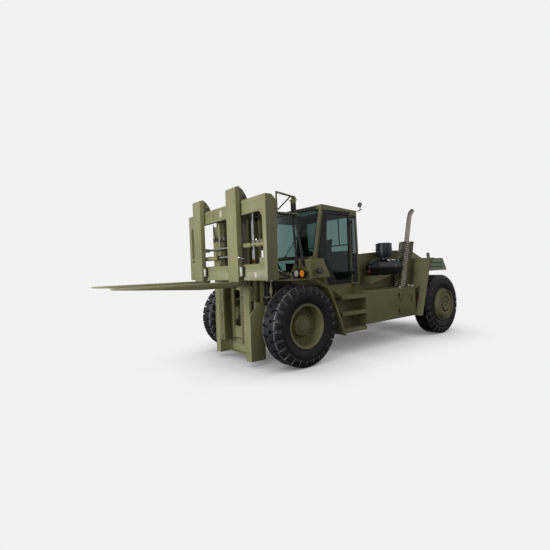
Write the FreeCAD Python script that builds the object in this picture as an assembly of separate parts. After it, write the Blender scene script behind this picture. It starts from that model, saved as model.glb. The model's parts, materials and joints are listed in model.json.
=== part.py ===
import FreeCAD, Part
import os
from math import atan2, cos, degrees, hypot, pi, radians, sin

V = FreeCAD.Vector

# Heavy forklift truck, millimetres.
# Working axes: X forward from the drive axle, Y to the driver's left, Z up from the ground.
# Everything is moved along X at the end, so that the origin is under the middle of the truck.

# ---- driving dimensions -------------------------------------------------------------------
wheelbase = 4600
tyre_radius = 745
tyre_width = 430
tyre_bore = 370
lugs_per_side = 26
lug_depth = 50
front_wheel_y = 1175
rear_wheel_y = 1215
kingpin_y = 985

running_gap = 0.3          # between turning or sliding pieces
clear_gap = 8              # between pieces that pass each other

frame_half = 560
frame_plate = 50
frame_bottom = 480
frame_top = 1150
rear_frame_half = 370
swing_room = 250             # between the steered tyre's front and what stands ahead of it
arch_bottom_x = -wheelbase + tyre_radius + swing_room
rear_frame_start = arch_bottom_x + 5
frame_rear = -wheelbase - 880

tank_front = -1770
tank_rear = rear_frame_start
tank_bottom = 554
tank_top = 1249
tank_outer = 1267

mast_pivot_x = 280
mast_pivot_z = 620
mast_pin_radius = 60
mast_front = 764
mast_rear = 440
mast_bottom = 110
outer_top = 2700
outer_web_y = 500
outer_half = 645
rail_flange = 48
rail_web = 40
cover_plate = 20

inner_bottom = 390
inner_front = 758
inner_rear = 472
inner_lip_y = 330
yoke_bottom = 2960
yoke_top = 3055

lift_x = 602
lift_y = 592
lift_barrel_radius = 50
lift_rod_radius = 36
lift_barrel_bottom = 200
lift_barrel_top = 1950

carriage_front = 920
carriage_back = 840
carriage_half = 1479
lower_beam_bottom = 1606
lower_beam_height = 275
lower_beam_top = lower_beam_bottom + lower_beam_height
upper_beam_bottom = 2758
upper_beam_height = 251
upper_beam_top = upper_beam_bottom + upper_beam_height
end_plate = 60
roller_bracket_y = 270
roller_bracket = 42

fork_rear = 940
fork_thickness = 98
fork_width = 346
fork_length = 2030
fork_top = 1588
fork_shank_rise = 254
fork_shank_top = upper_beam_top + fork_shank_rise
fork_left_y = 589
fork_right_y = -828

tilt_mast_x = 340
tilt_mast_z = 1905
tilt_base_x = -850
tilt_base_z = 1335
tilt_y = 595
tilt_barrel_radius = 75
tilt_rod_radius = 33
tilt_barrel_length = 650
tilt_pin_radius = 35

cab_half = 860
cab_wall = 45
cab_floor_z = 1400
cab_front_low = -1040
cab_knee_x = -720
cab_knee_z = 2000
cab_brow_x = -950
cab_brow_z = 3085
cab_back_x = -2050
cab_back_z = 3016
cab_back_lean = 55
door_rear = -1790
door_thickness = 40

cowl_front = -400
cowl_half = 1060
cowl_bottom = 1587
cowl_top = 1965

hood_half = 680
hood_wall = 20
hood_front = cab_back_x - 60
hood_rise_x = tank_rear
hood_top = 2130
hood_front_top = 2030
hood_fall_x = -wheelbase + 150
hood_rear = -wheelbase - 280

weight_half = 950
weight_top = 1930
weight_bottom = 450
weight_waist = 1300
weight_rear = frame_rear - 235
weight_top_rear = weight_rear + 215
weight_shelf = 1592

arch_bottom_z = 550
arch_top_x = arch_bottom_x - 330
arch_knee_z = 1560
arch_lip_z = 1768
arch_fold = 60
arch_outer = 1430
arch_plate = 20

fork_tip = fork_rear + fork_thickness + fork_length
x_shift = -(fork_tip + weight_rear) / 2


# ---- shape helpers ------------------------------------------------------------------------
def box(x0, x1, y0, y1, z0, z1):
    """Block between two corners given in any order."""
    corner = V(min(x0, x1), min(y0, y1), min(z0, z1))
    return Part.makeBox(abs(x1 - x0), abs(y1 - y0), abs(z1 - z0), corner)


def face_of(points):
    return Part.Face(Part.makePolygon(points + points[:1]))


def side_profile(points, y0, y1):
    """Outline in X and Z, drawn out along Y."""
    return face_of([V(x, y0, z) for x, z in points]).extrude(V(0, y1 - y0, 0))


def plan_profile(points, z0, z1):
    """Outline in X and Y, drawn out along Z."""
    return face_of([V(x, y, z0) for x, y in points]).extrude(V(0, 0, z1 - z0))


def front_profile(points, x0, x1):
    """Outline in Y and Z, drawn out along X."""
    return face_of([V(x0, y, z) for y, z in points]).extrude(V(x1 - x0, 0, 0))


def rod(start, end, radius):
    """Round bar between two points."""
    start, end = V(*start), V(*end)
    return Part.makeCylinder(radius, (end - start).Length, start, end - start)


def fuse(shapes):
    """One solid from shapes that share faces or overlap."""
    result = shapes[0]
    if len(shapes) > 1:
        result = shapes[0].multiFuse(shapes[1:]).removeSplitter()
    return result


def mirrored(shape):
    return shape.mirror(V(0, 0, 0), V(0, 1, 0))


def both_sides(shape):
    return [shape, mirrored(shape)]


def turned(profile, about=(0, 0, 0)):
    """Solid of revolution about the Y axis from an outline of (y, radius) points."""
    ring = face_of([V(0, y, r) for y, r in profile])
    solid = ring.revolve(V(0, 0, 0), V(0, 1, 0), 360)
    solid.translate(V(*about))
    return solid


def save(name, shapes):
    """Write one node, moved so that the origin is under the truck's middle."""
    shape = shapes[0] if len(shapes) == 1 else Part.makeCompound(shapes)
    shape = shape.copy()
    shape.translate(V(x_shift, 0, 0))
    shape.exportStep("parts/" + name + ".step")


def hinge(x, face_y, z, reach):
    """Upright butt hinge on the left side: fixed halves and the moving half, as two lists.

    The moving leaf runs along X by reach, and the fixed leaves run the other way.
    """
    y = face_y + hinge_radius + 1
    leaf_y = face_y + hinge_leaf
    bore = rod((x, y, z - 100), (x, y, z + 100), hinge_pin + running_gap)
    back = box(x, x - reach, face_y, leaf_y, z - 70, z + 70)
    slot = box(x - 60, x + 60, face_y - 1, y + 60, z - 35, z + 35)
    fixed = fuse([rod((x, y, z - 70), (x, y, z + 70), hinge_radius), back]).cut(slot)
    fixed = fuse([fixed, rod((x, y, z - 70), (x, y, z + 70), hinge_pin)])
    end = 35 - running_gap
    leaf = box(x, x + reach, face_y, leaf_y, z - end, z + end)
    moving = fuse([rod((x, y, z - end), (x, y, z + end), hinge_radius), leaf]).cut(bore)
    return fixed, moving


def flat_hinge(x, face_z, y, reach):
    """The same hinge lying on a level face, with its barrel along Y."""
    halves = []
    for half in hinge(x, face_z, -y, reach):
        half.rotate(V(0, 0, 0), V(1, 0, 0), 90)
        halves.append(half)
    return halves


hinge_radius = 13
hinge_pin = 7
hinge_leaf = 6
hinge_reach = 62


# ---- wheels -------------------------------------------------------------------------------
def tyre():
    """Lug tyre about the Y axis: shoulder lugs alternate left and right of a centre band."""
    sectors = 2 * lugs_per_side
    half = tyre_width / 2
    bead = (half - bead_inset, tyre_bore)
    bulge = (half, bulge_radius)
    shoulder = (half - 22, tyre_radius - 42)
    crown = (half - 60, tyre_radius)
    band = (66, tyre_radius)
    floor_in = (66, tyre_radius - lug_depth)
    floor_out = (half - 34, tyre_radius - lug_depth - 12)

    def point(spot, side, angle):
        y, r = spot
        return V(r * sin(angle), side * y, r * cos(angle))

    faces = []
    for k in range(sectors):
        a0 = 2 * pi * k / sectors
        a1 = 2 * pi * (k + 1) / sectors
        for side in (1, -1):
            lug = (k % 2 == 0) == (side == 1)
            if lug:
                line = [bead, bulge, shoulder, crown]
            else:
                line = [bead, bulge, floor_out, floor_in, band]
            for p, q in zip(line, line[1:]):
                faces.append(face_of([point(p, side, a0), point(q, side, a0),
                                      point(q, side, a1), point(p, side, a1)]))
            wall = [bulge, shoulder, crown, band, floor_in, floor_out]
            faces.append(face_of([point(p, side, a0) for p in wall]))
        lug_side = 1 if k % 2 == 0 else -1
        faces.append(face_of([point(crown, lug_side, a0), point(band, -lug_side, a0),
                              point(band, -lug_side, a1), point(crown, lug_side, a1)]))
        faces.append(face_of([point(bead, 1, a0), point(bead, -1, a0),
                              point(bead, -1, a1), point(bead, 1, a1)]))
    shell = Part.Shell(faces)
    shell.sewShape()
    solid = Part.Solid(shell)
    if solid.Volume < 0:
        solid.reverse()
    return solid


bead_inset = 43
bulge_radius = tyre_radius - 195


def wall_y(radius):
    """Y of the tyre's wall between bead and bulge, at the middle of a flat."""
    share = (radius / cos(pi / (2 * lugs_per_side)) - tyre_bore) / (bulge_radius - tyre_bore)
    return tyre_width / 2 - bead_inset * (1 - share)


seat_radius = tyre_bore * cos(pi / (2 * lugs_per_side)) - running_gap
flange_radius = tyre_bore + 36
flange_in = wall_y(flange_radius) + running_gap
flange_out = flange_in + 12
ring_radius = tyre_bore - 22
ring_face = 285
barrel_wall = 14
axle_spindle = 90
knuckle_spindle = 60


def rim(disc_y, hub_radius, hub_face, bore_radius, bore_start, bore_depth):
    """Wheel rim with its disc and hub, outer side towards +Y."""
    inside = seat_radius - barrel_wall
    outline = [(-flange_out, inside), (-flange_out, flange_radius), (-flange_in, flange_radius),
               (-flange_in, seat_radius), (flange_in, seat_radius), (flange_in, flange_radius),
               (flange_out, flange_radius), (flange_out, inside),
               (disc_y + 28, inside - 40), (disc_y + 28, hub_radius),
               (hub_face - 30, hub_radius), (hub_face, hub_radius - 35),
               (hub_face, hub_radius - 75), (hub_face + 22, hub_radius - 90), (hub_face + 22, 0),
               (bore_start + bore_depth, 0), (bore_start + bore_depth, bore_radius),
               (bore_start, bore_radius), (bore_start, hub_radius - 30),
               (disc_y, hub_radius), (disc_y, inside)]
    return turned(outline)


def front_rim():
    return rim(disc_y=-70, hub_radius=200, hub_face=70,
               bore_radius=axle_spindle + running_gap, bore_start=-125, bore_depth=120)


def rear_rim():
    """Rim whose disc stands outwards as a cone, with a lipped ring round the hub face."""
    inside = seat_radius - barrel_wall
    ring, face = ring_radius, ring_face
    bore_start, bore_end = -60, 50
    bore = knuckle_spindle + running_gap
    outline = [(-flange_out, inside), (-flange_out, flange_radius), (-flange_in, flange_radius),
               (-flange_in, seat_radius), (flange_in, seat_radius), (flange_in, flange_radius),
               (flange_out, flange_radius), (flange_out, flange_radius - 20),
               (face - 22, ring), (face - 22, ring + 8), (face, ring + 8), (face, ring - 14),
               (face - 48, ring - 26), (face - 48, ring - 52), (face - 18, ring - 58),
               (face - 18, 205), (face - 38, 196), (face - 38, 160), (face - 6, 148),
               (face - 6, 96), (face - 30, 84), (face - 30, 40), (face - 16, 30), (face - 16, 0),
               (bore_end, 0), (bore_end, bore), (bore_start, bore), (bore_start, 130),
               (150, 150), (face - 66, 190), (face - 66, ring - 36), (flange_in, inside)]
    return turned(outline)


def place_wheel(shape, x, y, right):
    shape = mirrored(shape) if right else shape.copy()
    shape.translate(V(x, -y if right else y, tyre_radius))
    return shape


axle_collar = 190


# ---- axles --------------------------------------------------------------------------------
def drive_axle():
    """Axle tube with its differential bowl, brake drums and wheel spindles."""
    hub_back = front_wheel_y - 125
    collar_in = frame_half - frame_plate - 15
    collar_out = frame_half + 15
    spindle_end = hub_back + 110
    outline = [(-spindle_end, 0), (-spindle_end, axle_spindle), (-hub_back + 40, axle_spindle),
               (-hub_back + 40, 210), (-hub_back + 150, 210), (-hub_back + 170, 165),
               (-collar_out, 165), (-collar_out, axle_collar), (-collar_in, axle_collar),
               (-collar_in, 170), (-250, 290), (250, 290), (collar_in, 170),
               (collar_in, axle_collar), (collar_out, axle_collar), (collar_out, 165),
               (hub_back - 170, 165), (hub_back - 150, 210), (hub_back - 40, 210),
               (hub_back - 40, axle_spindle), (spindle_end, axle_spindle), (spindle_end, 0)]
    return turned(outline, (0, 0, tyre_radius))


beam_half_depth = 130
beam_half_height = 110
eye_radius = 85
eye_half = 100
kingpin_radius = 45


def steer_axle():
    """Box beam with an eye for a kingpin at each end."""
    end = kingpin_y - 190
    plan = [(-beam_half_depth, -end), (-eye_radius, -kingpin_y), (eye_radius, -kingpin_y),
            (beam_half_depth, -end), (beam_half_depth, end), (eye_radius, kingpin_y),
            (-eye_radius, kingpin_y), (-beam_half_depth, end)]
    beam = plan_profile(plan, -eye_half, eye_half)
    web = box(-beam_half_depth, beam_half_depth, -rear_frame_half - 60, rear_frame_half + 60,
              -beam_half_height, beam_half_height)
    parts = [beam, web]
    for y in (-kingpin_y, kingpin_y):
        parts.append(rod((0, y, -eye_half), (0, y, eye_half), eye_radius))
    shape = fuse(parts)
    for y in (-kingpin_y, kingpin_y):
        shape = shape.cut(rod((0, y, -eye_half - 1), (0, y, eye_half + 1),
                              kingpin_radius + running_gap))
    shape.translate(V(-wheelbase, 0, tyre_radius))
    return shape


def knuckle():
    """Left steering knuckle: yoke round the beam's eye, kingpin and spindle."""
    lug_in = eye_half + running_gap
    lug_out = lug_in + 40
    cheek = eye_radius + 10
    parts = [rod((0, 0, -lug_out), (0, 0, lug_out), kingpin_radius)]
    for side in (1, -1):
        z0, z1 = side * lug_in, side * lug_out
        parts.append(rod((0, 0, z0), (0, 0, z1), 80))
        parts.append(box(-80, 80, 0, cheek + 40, z0, z1))
    parts.append(box(-80, 80, cheek, cheek + 40, -lug_out, lug_out))
    spindle_end = rear_wheel_y - kingpin_y - 60 + 100
    parts.append(rod((0, cheek, 0), (0, spindle_end, 0), knuckle_spindle))
    shape = fuse(parts)
    shape.translate(V(-wheelbase, kingpin_y, tyre_radius))
    return shape


# ---- chassis ------------------------------------------------------------------------------
front_cross_x = -330
mid_cross_x = -1000
tail_cross_x = -wheelbase + 350
cross_plate = 40
ear_radius = 120
tilt_eye_radius = 62
tilt_eye_half = 36
tilt_ear = 25
clevis_in = tilt_eye_half + clear_gap
clevis_out = clevis_in + tilt_ear


def clevis(outline, x, z):
    """Two plates and a pin that hold one end of the left tilt cylinder."""
    plates = [side_profile(outline, tilt_y - clevis_out, tilt_y - clevis_in),
              side_profile(outline, tilt_y + clevis_in, tilt_y + clevis_out)]
    pin = rod((x, tilt_y - clevis_out, z), (x, tilt_y + clevis_out, z), tilt_pin_radius)
    return plates + [pin]


def chassis_frame():
    """Two deep side plates, narrower between the steered wheels, joined by cross plates."""
    front_plate = side_profile([(mast_pivot_x, frame_bottom + 20), (mast_pivot_x, mast_pivot_z + 140),
                                (100, frame_top), (rear_frame_start, frame_top),
                                (rear_frame_start, frame_bottom), (0, frame_bottom)],
                               frame_half - frame_plate, frame_half)
    ear = rod((mast_pivot_x, frame_half - frame_plate, mast_pivot_z),
              (mast_pivot_x, frame_half, mast_pivot_z), ear_radius)
    rear_plate = side_profile([(rear_frame_start, frame_bottom), (rear_frame_start, frame_top),
                               (frame_rear, frame_top), (frame_rear, frame_bottom)],
                              rear_frame_half - frame_plate, rear_frame_half)
    bracket = [(tilt_base_x + 190, frame_top - 130), (tilt_base_x + 60, tilt_base_z + 60),
               (tilt_base_x - 60, tilt_base_z + 60), (tilt_base_x - 190, frame_top - 130)]
    foot = box(tilt_base_x - 190, tilt_base_x + 190, frame_half, tilt_y + clevis_out,
               frame_top - 130, frame_top - 100)
    half = fuse([front_plate, ear, rear_plate, foot] + clevis(bracket, tilt_base_x, tilt_base_z))
    parts = both_sides(half)
    inner = frame_half - frame_plate
    rear_inner = rear_frame_half - frame_plate
    for x in (front_cross_x, mid_cross_x):
        parts.append(box(x, x - cross_plate, -inner, inner, frame_bottom, frame_top))
    parts.append(box(rear_frame_start, rear_frame_start - 40, -frame_half, frame_half,
                     frame_bottom, frame_top))
    parts.append(box(mid_cross_x - cross_plate, rear_frame_start, -inner, inner,
                     frame_bottom, frame_bottom + 30))
    parts.append(box(tail_cross_x, tail_cross_x - cross_plate, -rear_inner, rear_inner,
                     frame_bottom, frame_top))
    shape = fuse(parts)
    shape = shape.cut(rod((0, -frame_half - 1, tyre_radius), (0, frame_half + 1, tyre_radius),
                          axle_collar + running_gap))
    shape = shape.cut(rod((mast_pivot_x, -frame_half - 1, mast_pivot_z),
                          (mast_pivot_x, frame_half + 1, mast_pivot_z),
                          mast_pin_radius + running_gap))
    window = box(-wheelbase - beam_half_depth - running_gap, -wheelbase + beam_half_depth + running_gap,
                 -rear_frame_half - 1, rear_frame_half + 1,
                 tyre_radius - beam_half_height - running_gap,
                 tyre_radius + beam_half_height + running_gap)
    return shape.cut(window)


def counterweight():
    """Cast weight over and behind the steered wheels, with a tow pin jaw."""
    front = arch_top_x - arch_plate
    upper = side_profile([(front, weight_shelf), (front, arch_lip_z), (front - arch_fold, weight_top),
                          (weight_top_rear, weight_top), (weight_rear, weight_shelf)],
                         -weight_half, weight_half)
    lower = side_profile([(frame_rear, weight_waist), (weight_rear, weight_waist),
                          (weight_rear, weight_bottom + 120), (weight_rear + 60, weight_bottom),
                          (frame_rear, weight_bottom)], -weight_half, weight_half)
    keel = box(front, frame_rear, -rear_frame_half, rear_frame_half, frame_top, weight_shelf)
    neck = box(frame_rear, weight_rear + 90, -rear_frame_half, rear_frame_half,
               weight_waist, weight_shelf)
    jaw = box(weight_rear - 1, weight_rear + 160, -90, 90, 760, 860)
    pin = rod((weight_rear + 75, 0, 750), (weight_rear + 75, 0, 870), 26)
    return fuse([fuse([upper, lower, keel, neck]).cut(jaw), pin])


def engine_block():
    half = engine_width / 2
    return box(engine_front, rear_frame_start + 10, -half, half, frame_bottom + 30, hood_top - 280)


engine_front = hood_front - 240
engine_width = 860


def side_tanks():
    """Fuel tank on the left and oil tank on the right; the left has a compartment behind."""
    left = box(tank_front, tank_rear, frame_half, tank_outer, tank_bottom, tank_top)
    left = left.makeFillet(25, [e for e in left.Edges if is_along_x(e) and e.BoundBox.YMin > 1000])
    right = mirrored(left)
    room = box(compartment_front, compartment_rear, tank_outer - 330, tank_outer + 1,
               compartment_bottom, compartment_top)
    hinges = [hinge(lid_hinge_x, tank_outer, z, -hinge_reach)[0] for z in lid_hinge_zs]
    return [fuse([left.cut(room)] + hinges), right]


def is_along_x(edge):
    box_of = edge.BoundBox
    return box_of.YLength < 1e-6 and box_of.ZLength < 1e-6


compartment_rear = tank_rear + 60
compartment_front = compartment_rear + 580
compartment_bottom = tank_bottom + 60
compartment_top = tank_top - 60
lid_gap = 6
lid_hinge_x = compartment_front - lid_gap / 2
lid_hinge_zs = (720, 1080)


def compartment_door():
    """Flat door over the compartment in the left tank's side, with a recessed pull."""
    panel = box(compartment_front - lid_gap, compartment_rear + lid_gap,
                tank_outer - 20, tank_outer,
                compartment_bottom + lid_gap, compartment_top - lid_gap)
    pull = box(compartment_rear + 90, compartment_rear + 150, tank_outer - 12, tank_outer + 1,
               tank_top - 330, tank_top - 220)
    leaves = [hinge(lid_hinge_x, tank_outer, z, -hinge_reach)[1] for z in lid_hinge_zs]
    return fuse([panel.cut(pull)] + leaves)


def arch_plates():
    """Plate in front of each steered wheel, leaning back, with the lifting eye at its top."""
    back = arch_plate
    outline = [(arch_bottom_x, arch_bottom_z), (arch_top_x, arch_knee_z), (arch_top_x, arch_lip_z),
               (arch_top_x - arch_fold, weight_top), (arch_top_x - arch_fold - back, weight_top),
               (arch_top_x - back, arch_lip_z), (arch_top_x - back, arch_knee_z),
               (arch_bottom_x - back, arch_bottom_z)]
    plate = side_profile(outline, frame_half, arch_outer)
    deck = box(arch_top_x - arch_fold - back / 4, arch_deck_rear, weight_half, arch_outer,
               weight_top - 20, weight_top)
    side = side_profile([(arch_top_x - back / 2, arch_lip_z), (arch_top_x - arch_fold - back / 2, weight_top),
                         (arch_deck_rear, weight_top), (arch_top_x - back / 2, weight_shelf)],
                        arch_outer - 15, arch_outer)
    eye_z = weight_top + eye_rise
    y0 = arch_outer - eye_inset - eye_plate / 2
    y1 = y0 + eye_plate
    eye = fuse([rod((eye_x, y0, eye_z), (eye_x, y1, eye_z), 56),
                side_profile([(eye_x - 70, weight_top), (eye_x + 10, weight_top - 10),
                              (eye_x + 54, eye_z), (eye_x - 50, eye_z)], y0, y1)])
    hole = rod((eye_x, y0 - 5, eye_z), (eye_x, y1 + 5, eye_z), 28)
    return both_sides(fuse([plate, deck, side, eye]).cut(hole))


arch_deck_rear = arch_top_x - 260
eye_x = arch_top_x - arch_fold - 30
eye_rise = 75
eye_inset = 60
eye_plate = 30


def arch_front_x(z):
    """X of the arch plate's front face at a height below its knee."""
    share = (z - arch_bottom_z) / (arch_knee_z - arch_bottom_z)
    return arch_bottom_x + (arch_top_x - arch_bottom_x) * share


def hood_outline():
    return [(hood_front, tank_top), (hood_front, hood_front_top), (hood_rise_x, hood_top),
            (hood_fall_x, hood_top), (hood_rear, weight_top + 30), (hood_rear, weight_top),
            (arch_top_x - arch_fold, weight_top), (arch_top_x, arch_lip_z), (arch_top_x, arch_knee_z),
            (arch_front_x(tank_top), tank_top)]


lid_front = hood_front - 60
lid_rear = hood_fall_x + 120
lid_hinge_back = lid_rear - 34
lid_hinge_ys = (400, -400)


def engine_hood():
    """Sheet walls round the engine, open at the top under the lid."""
    outer = side_profile(hood_outline(), -hood_half, hood_half)
    inner = side_profile([(hood_front - hood_wall, tank_top - 1), (hood_front - hood_wall, hood_front_top - 20),
                          (hood_rise_x, hood_top - 20), (hood_fall_x - 5, hood_top - 20),
                          (hood_rear + 20, weight_top + 10), (hood_rear + 20, weight_top - 1),
                          (arch_top_x - arch_fold + 20, weight_top - 1), (arch_top_x + 20, arch_lip_z),
                          (arch_top_x + 20, arch_knee_z),
                          (arch_front_x(tank_top) + 20, tank_top - 1)],
                         -hood_half + hood_wall, hood_half - hood_wall)
    mouth = box(lid_front, lid_rear, -hood_half + 60, hood_half - 60, 1900, hood_top + 100)
    fixed = [flat_hinge(lid_hinge_back, hood_top, y, hinge_reach)[0] for y in lid_hinge_ys]
    return fuse([outer.cut(inner).cut(mouth)] + fixed)


def hood_lid():
    """Top panel over the engine, lying on the hood's edge."""
    rise = (hood_top - hood_front_top) / (hood_front - hood_rise_x)
    start = hood_front_top + rise * (hood_front - lid_front)
    outline = [(lid_front + 20, start + running_gap), (lid_front + 20, start + 23), (hood_rise_x, hood_top + 23),
               (lid_rear - 20, hood_top + 23), (lid_rear - 20, hood_top + running_gap), (hood_rise_x, hood_top + running_gap)]
    panel = side_profile(outline, -hood_half + 25, hood_half - 25)
    leaves = [flat_hinge(lid_hinge_back, hood_top, y, hinge_reach)[1] for y in lid_hinge_ys]
    below = box(lid_hinge_back - 100, lid_rear, -hood_half, hood_half, hood_top - 50, hood_top + running_gap)
    return fuse([panel] + leaves).cut(below)


def rear_louvres():
    """Louvred side panel along each side of the counterweight's top."""
    x0 = arch_deck_rear
    blades = []
    for k in range(3):
        z = weight_shelf + 10 + 105 * k
        rear = weight_rear + (z - weight_shelf) * (weight_top_rear - weight_rear) / (weight_top - weight_shelf)
        blade = front_profile([(weight_half, z), (weight_half + 42, z), (weight_half + 14, z + 100),
                               (weight_half, z + 100)], x0, rear + 70)
        blades.append(blade)
    spine = box(x0, x0 - 20, weight_half, weight_half + 44, weight_shelf + 10, weight_top)
    return both_sides(fuse(blades + [spine]))


# ---- steps and mudguards ------------------------------------------------------------------
step_front = -1020
step_rear = -1765
step_tops = (525, 865, 1195)
step_back = 880


def boarding_steps():
    """Three treads between end brackets on a back plate, on each side."""
    parts = [box(step_front, step_rear, step_back - 20, step_back, 480, cab_floor_z - 5)]
    for top in step_tops:
        parts.append(box(step_front, step_rear, step_back, tank_outer, top - 30, top))
        parts.append(box(step_front, step_rear, tank_outer - 15, tank_outer, top - 70, top))
        for x in (step_front - 12, step_rear):
            bracket = front_profile([(step_back, top), (tank_outer, top), (step_back, top + 190)], x, x + 12)
            parts.append(bracket)
    for z in (500, frame_top - 40):
        parts.append(box(step_front, step_rear, frame_half, step_back - 20, z, z + 20))
    return both_sides(fuse(parts))


guard_sheet = 12
guard_top = 1575
guard_inner = 940
guard_outer = 1390


def mudguards():
    """Folded sheet over and behind each front tyre."""
    line = [(390, guard_top), (-210, guard_top), (-590, 1370), (-985, 440)]
    upper = [(390, guard_top + guard_sheet), (-213, guard_top + guard_sheet), (-600, 1378), (-997, 440)]
    sheet = side_profile(line + upper[::-1], guard_inner, guard_outer)
    low_stay = box(-975, step_front, 1000, 1040, step_tops[0] - 30, step_tops[0])
    high_stay = box(-470, -430, cowl_half - 15, cowl_half, 1440, cowl_bottom)
    return both_sides(fuse([sheet, low_stay, high_stay]))


# ---- cab ----------------------------------------------------------------------------------
def slope_x(z):
    """X of the cab's front face at a height."""
    if z < cab_knee_z:
        return cab_front_low + (z - cab_floor_z) * (cab_knee_x - cab_front_low) / (cab_knee_z - cab_floor_z)
    return cab_knee_x + (z - cab_knee_z) * (cab_brow_x - cab_knee_x) / (cab_brow_z - cab_knee_z)


door_gap = 6
door_bottom = cab_floor_z + 25
door_top = 2965
door_margin = 75
door_hinge_x = door_rear - door_gap / 2
door_hinge_zs = (1650, 2750)


def door_outline(grow):
    """Door outline in X and Z, made larger on every side by grow."""
    g = grow
    return [(slope_x(door_bottom) - door_margin + g, door_bottom - g),
            (cab_knee_x - door_margin + g, cab_knee_z),
            (slope_x(door_top) - door_margin + g, door_top + g),
            (door_rear - g, door_top + g), (door_rear - g, door_bottom - g)]


def quarter_outline():
    return [(door_rear - 50, quarter_bottom), (door_rear - 60, quarter_top),
            (back_x(quarter_top) + cab_wall + 8, quarter_top),
            (back_x(quarter_bottom) + cab_wall + 8, quarter_bottom)]


def back_x(z):
    """X of the cab's rear face at a height."""
    return cab_back_x + cab_back_lean * (z - cab_floor_z) / (cab_back_z - cab_floor_z)


def low_pane_outline(grow):
    """Lower windscreen in Y and Z, made larger on every side by grow."""
    low, high = low_pane_bottom - grow, low_pane_top + grow
    return [(-low_pane_half - grow, low), (low_pane_half + grow, low),
            (low_pane_half_top + grow, high), (-low_pane_half_top - grow, high)]


def screen_ledge(z):
    """Crescent shelf that closes the cab against the curved windscreen's edge."""
    x = slope_x(z) - 30
    half = cab_half - 80
    arc = Part.Arc(V(x, -half, z), V(x + screen_bulge, 0, z), V(x, half, z)).toShape()
    chord = Part.makeLine(V(x, half, z), V(x, -half, z))
    return Part.Face(Part.Wire([arc, chord])).extrude(V(0, 0, 20))


quarter_bottom = 2060
quarter_top = 2850
screen_bulge = 150
low_pane_bottom = 1722
low_pane_top = 1978
low_pane_half = 440
low_pane_half_top = 625


def cab_shell():
    """Welded cab: floor, posts, roof and rear wall, with the openings cut."""
    w = cab_wall
    outline = [(cab_front_low, cab_floor_z), (cab_knee_x, cab_knee_z), (cab_brow_x, cab_brow_z),
               (cab_back_x + cab_back_lean, cab_back_z), (cab_back_x, cab_floor_z)]
    inside = [(cab_front_low - w, cab_floor_z + w), (cab_knee_x - w, cab_knee_z),
              (cab_brow_x - w, cab_brow_z - w), (cab_back_x + cab_back_lean + w, cab_back_z - w),
              (cab_back_x + w, cab_floor_z + w)]
    shell = side_profile(outline, -cab_half, cab_half)
    shell = shell.cut(side_profile(inside, -cab_half + w, cab_half - w))
    shell = shell.cut(side_profile(door_outline(door_gap), -cab_half - 1, cab_half + 1))
    shell = shell.cut(side_profile(quarter_outline(), -cab_half - 1, cab_half + 1))
    windscreen = side_profile([(slope_x(cab_knee_z + 20) + 60, cab_knee_z + 20),
                               (slope_x(cab_brow_z - 90) + 60, cab_brow_z - 90),
                               (slope_x(cab_brow_z - 90) - 90, cab_brow_z - 90),
                               (slope_x(cab_knee_z + 20) - 90, cab_knee_z + 20)],
                              -cab_half + 80, cab_half - 80)
    shell = shell.cut(windscreen)
    shell = shell.cut(box(cab_back_x - 10, cab_back_x + 120, -cab_half + 110, cab_half - 110, 2150, 2900))
    shell = shell.cut(box(cab_brow_x - 130, cab_brow_x - 620, -420, 420, 2900, 3200))
    riser = side_profile([(cab_front_low, cab_floor_z), (cab_back_x, cab_floor_z),
                          (cab_back_x, frame_top), (cab_front_low, frame_top)],
                         -frame_half, frame_half)
    shell = shell.cut(front_profile(low_pane_outline(0), cab_front_low - 60, cab_knee_x + 20))
    ledges = [screen_ledge(cab_knee_z), screen_ledge(cab_brow_z - 90)]
    hinges = []
    for z in door_hinge_zs:
        hinges += both_sides(hinge(door_hinge_x, cab_half, z, hinge_reach)[0])
    return fuse([shell, riser] + ledges + hinges)


def cab_glass():
    """Curved windscreen, roof pane, rear pane and quarter panes, each its own solid."""
    sheet = 10
    loops = []
    for z in (cab_knee_z + 20 + running_gap, cab_brow_z - 90 - running_gap):
        x = slope_x(z) - 30
        half = cab_half - 80 - running_gap
        outer = Part.Arc(V(x, -half, z), V(x + screen_bulge, 0, z), V(x, half, z)).toShape()
        inner = Part.Arc(V(x - sheet, half - 4, z), V(x + screen_bulge - sheet, 0, z), V(x - sheet, -half + 4, z)).toShape()
        ends = [Part.makeLine(V(x, half, z), V(x - sheet, half - 4, z)),
                Part.makeLine(V(x - sheet, -half + 4, z), V(x, -half, z))]
        loops.append(Part.Wire([outer, ends[0], inner, ends[1]]))
    windscreen = Part.makeLoft(loops, True, True)
    panes = [windscreen]
    roof = side_profile([(cab_brow_x - 130, 3042), (cab_brow_x - 620, 3020), (cab_brow_x - 620, 3030),
                         (cab_brow_x - 130, 3052)], -420, 420)
    panes.append(roof)
    panes.append(side_profile([(back_x(2150) + 18, 2150), (back_x(2900) + 18, 2900),
                               (back_x(2900) + 26, 2900), (back_x(2150) + 26, 2150)],
                              -cab_half + 110, cab_half - 110))
    sloped = side_profile([(slope_x(1650) - 14, 1650), (slope_x(1990) - 14, 1990),
                           (slope_x(1990) - 24, 1990), (slope_x(1650) - 24, 1650)], -cab_half, cab_half)
    panes.append(sloped.common(front_profile(low_pane_outline(0), cab_front_low - 60, cab_knee_x + 20)))
    quarter = side_profile(quarter_outline(), cab_half - 26, cab_half - 18)
    panes += both_sides(quarter)
    return panes


door_frame_width = 55


def door_frame():
    """Left door: black frame round a full pane, with hinge barrels at its rear edge."""
    outer = side_profile(door_outline(0), cab_half - door_thickness, cab_half)
    opening = side_profile(door_outline(-door_frame_width), cab_half - door_thickness - 1, cab_half + 1)
    leaves = [hinge(door_hinge_x, cab_half, z, hinge_reach)[1] for z in door_hinge_zs]
    return fuse([outer.cut(opening)] + leaves)


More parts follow.
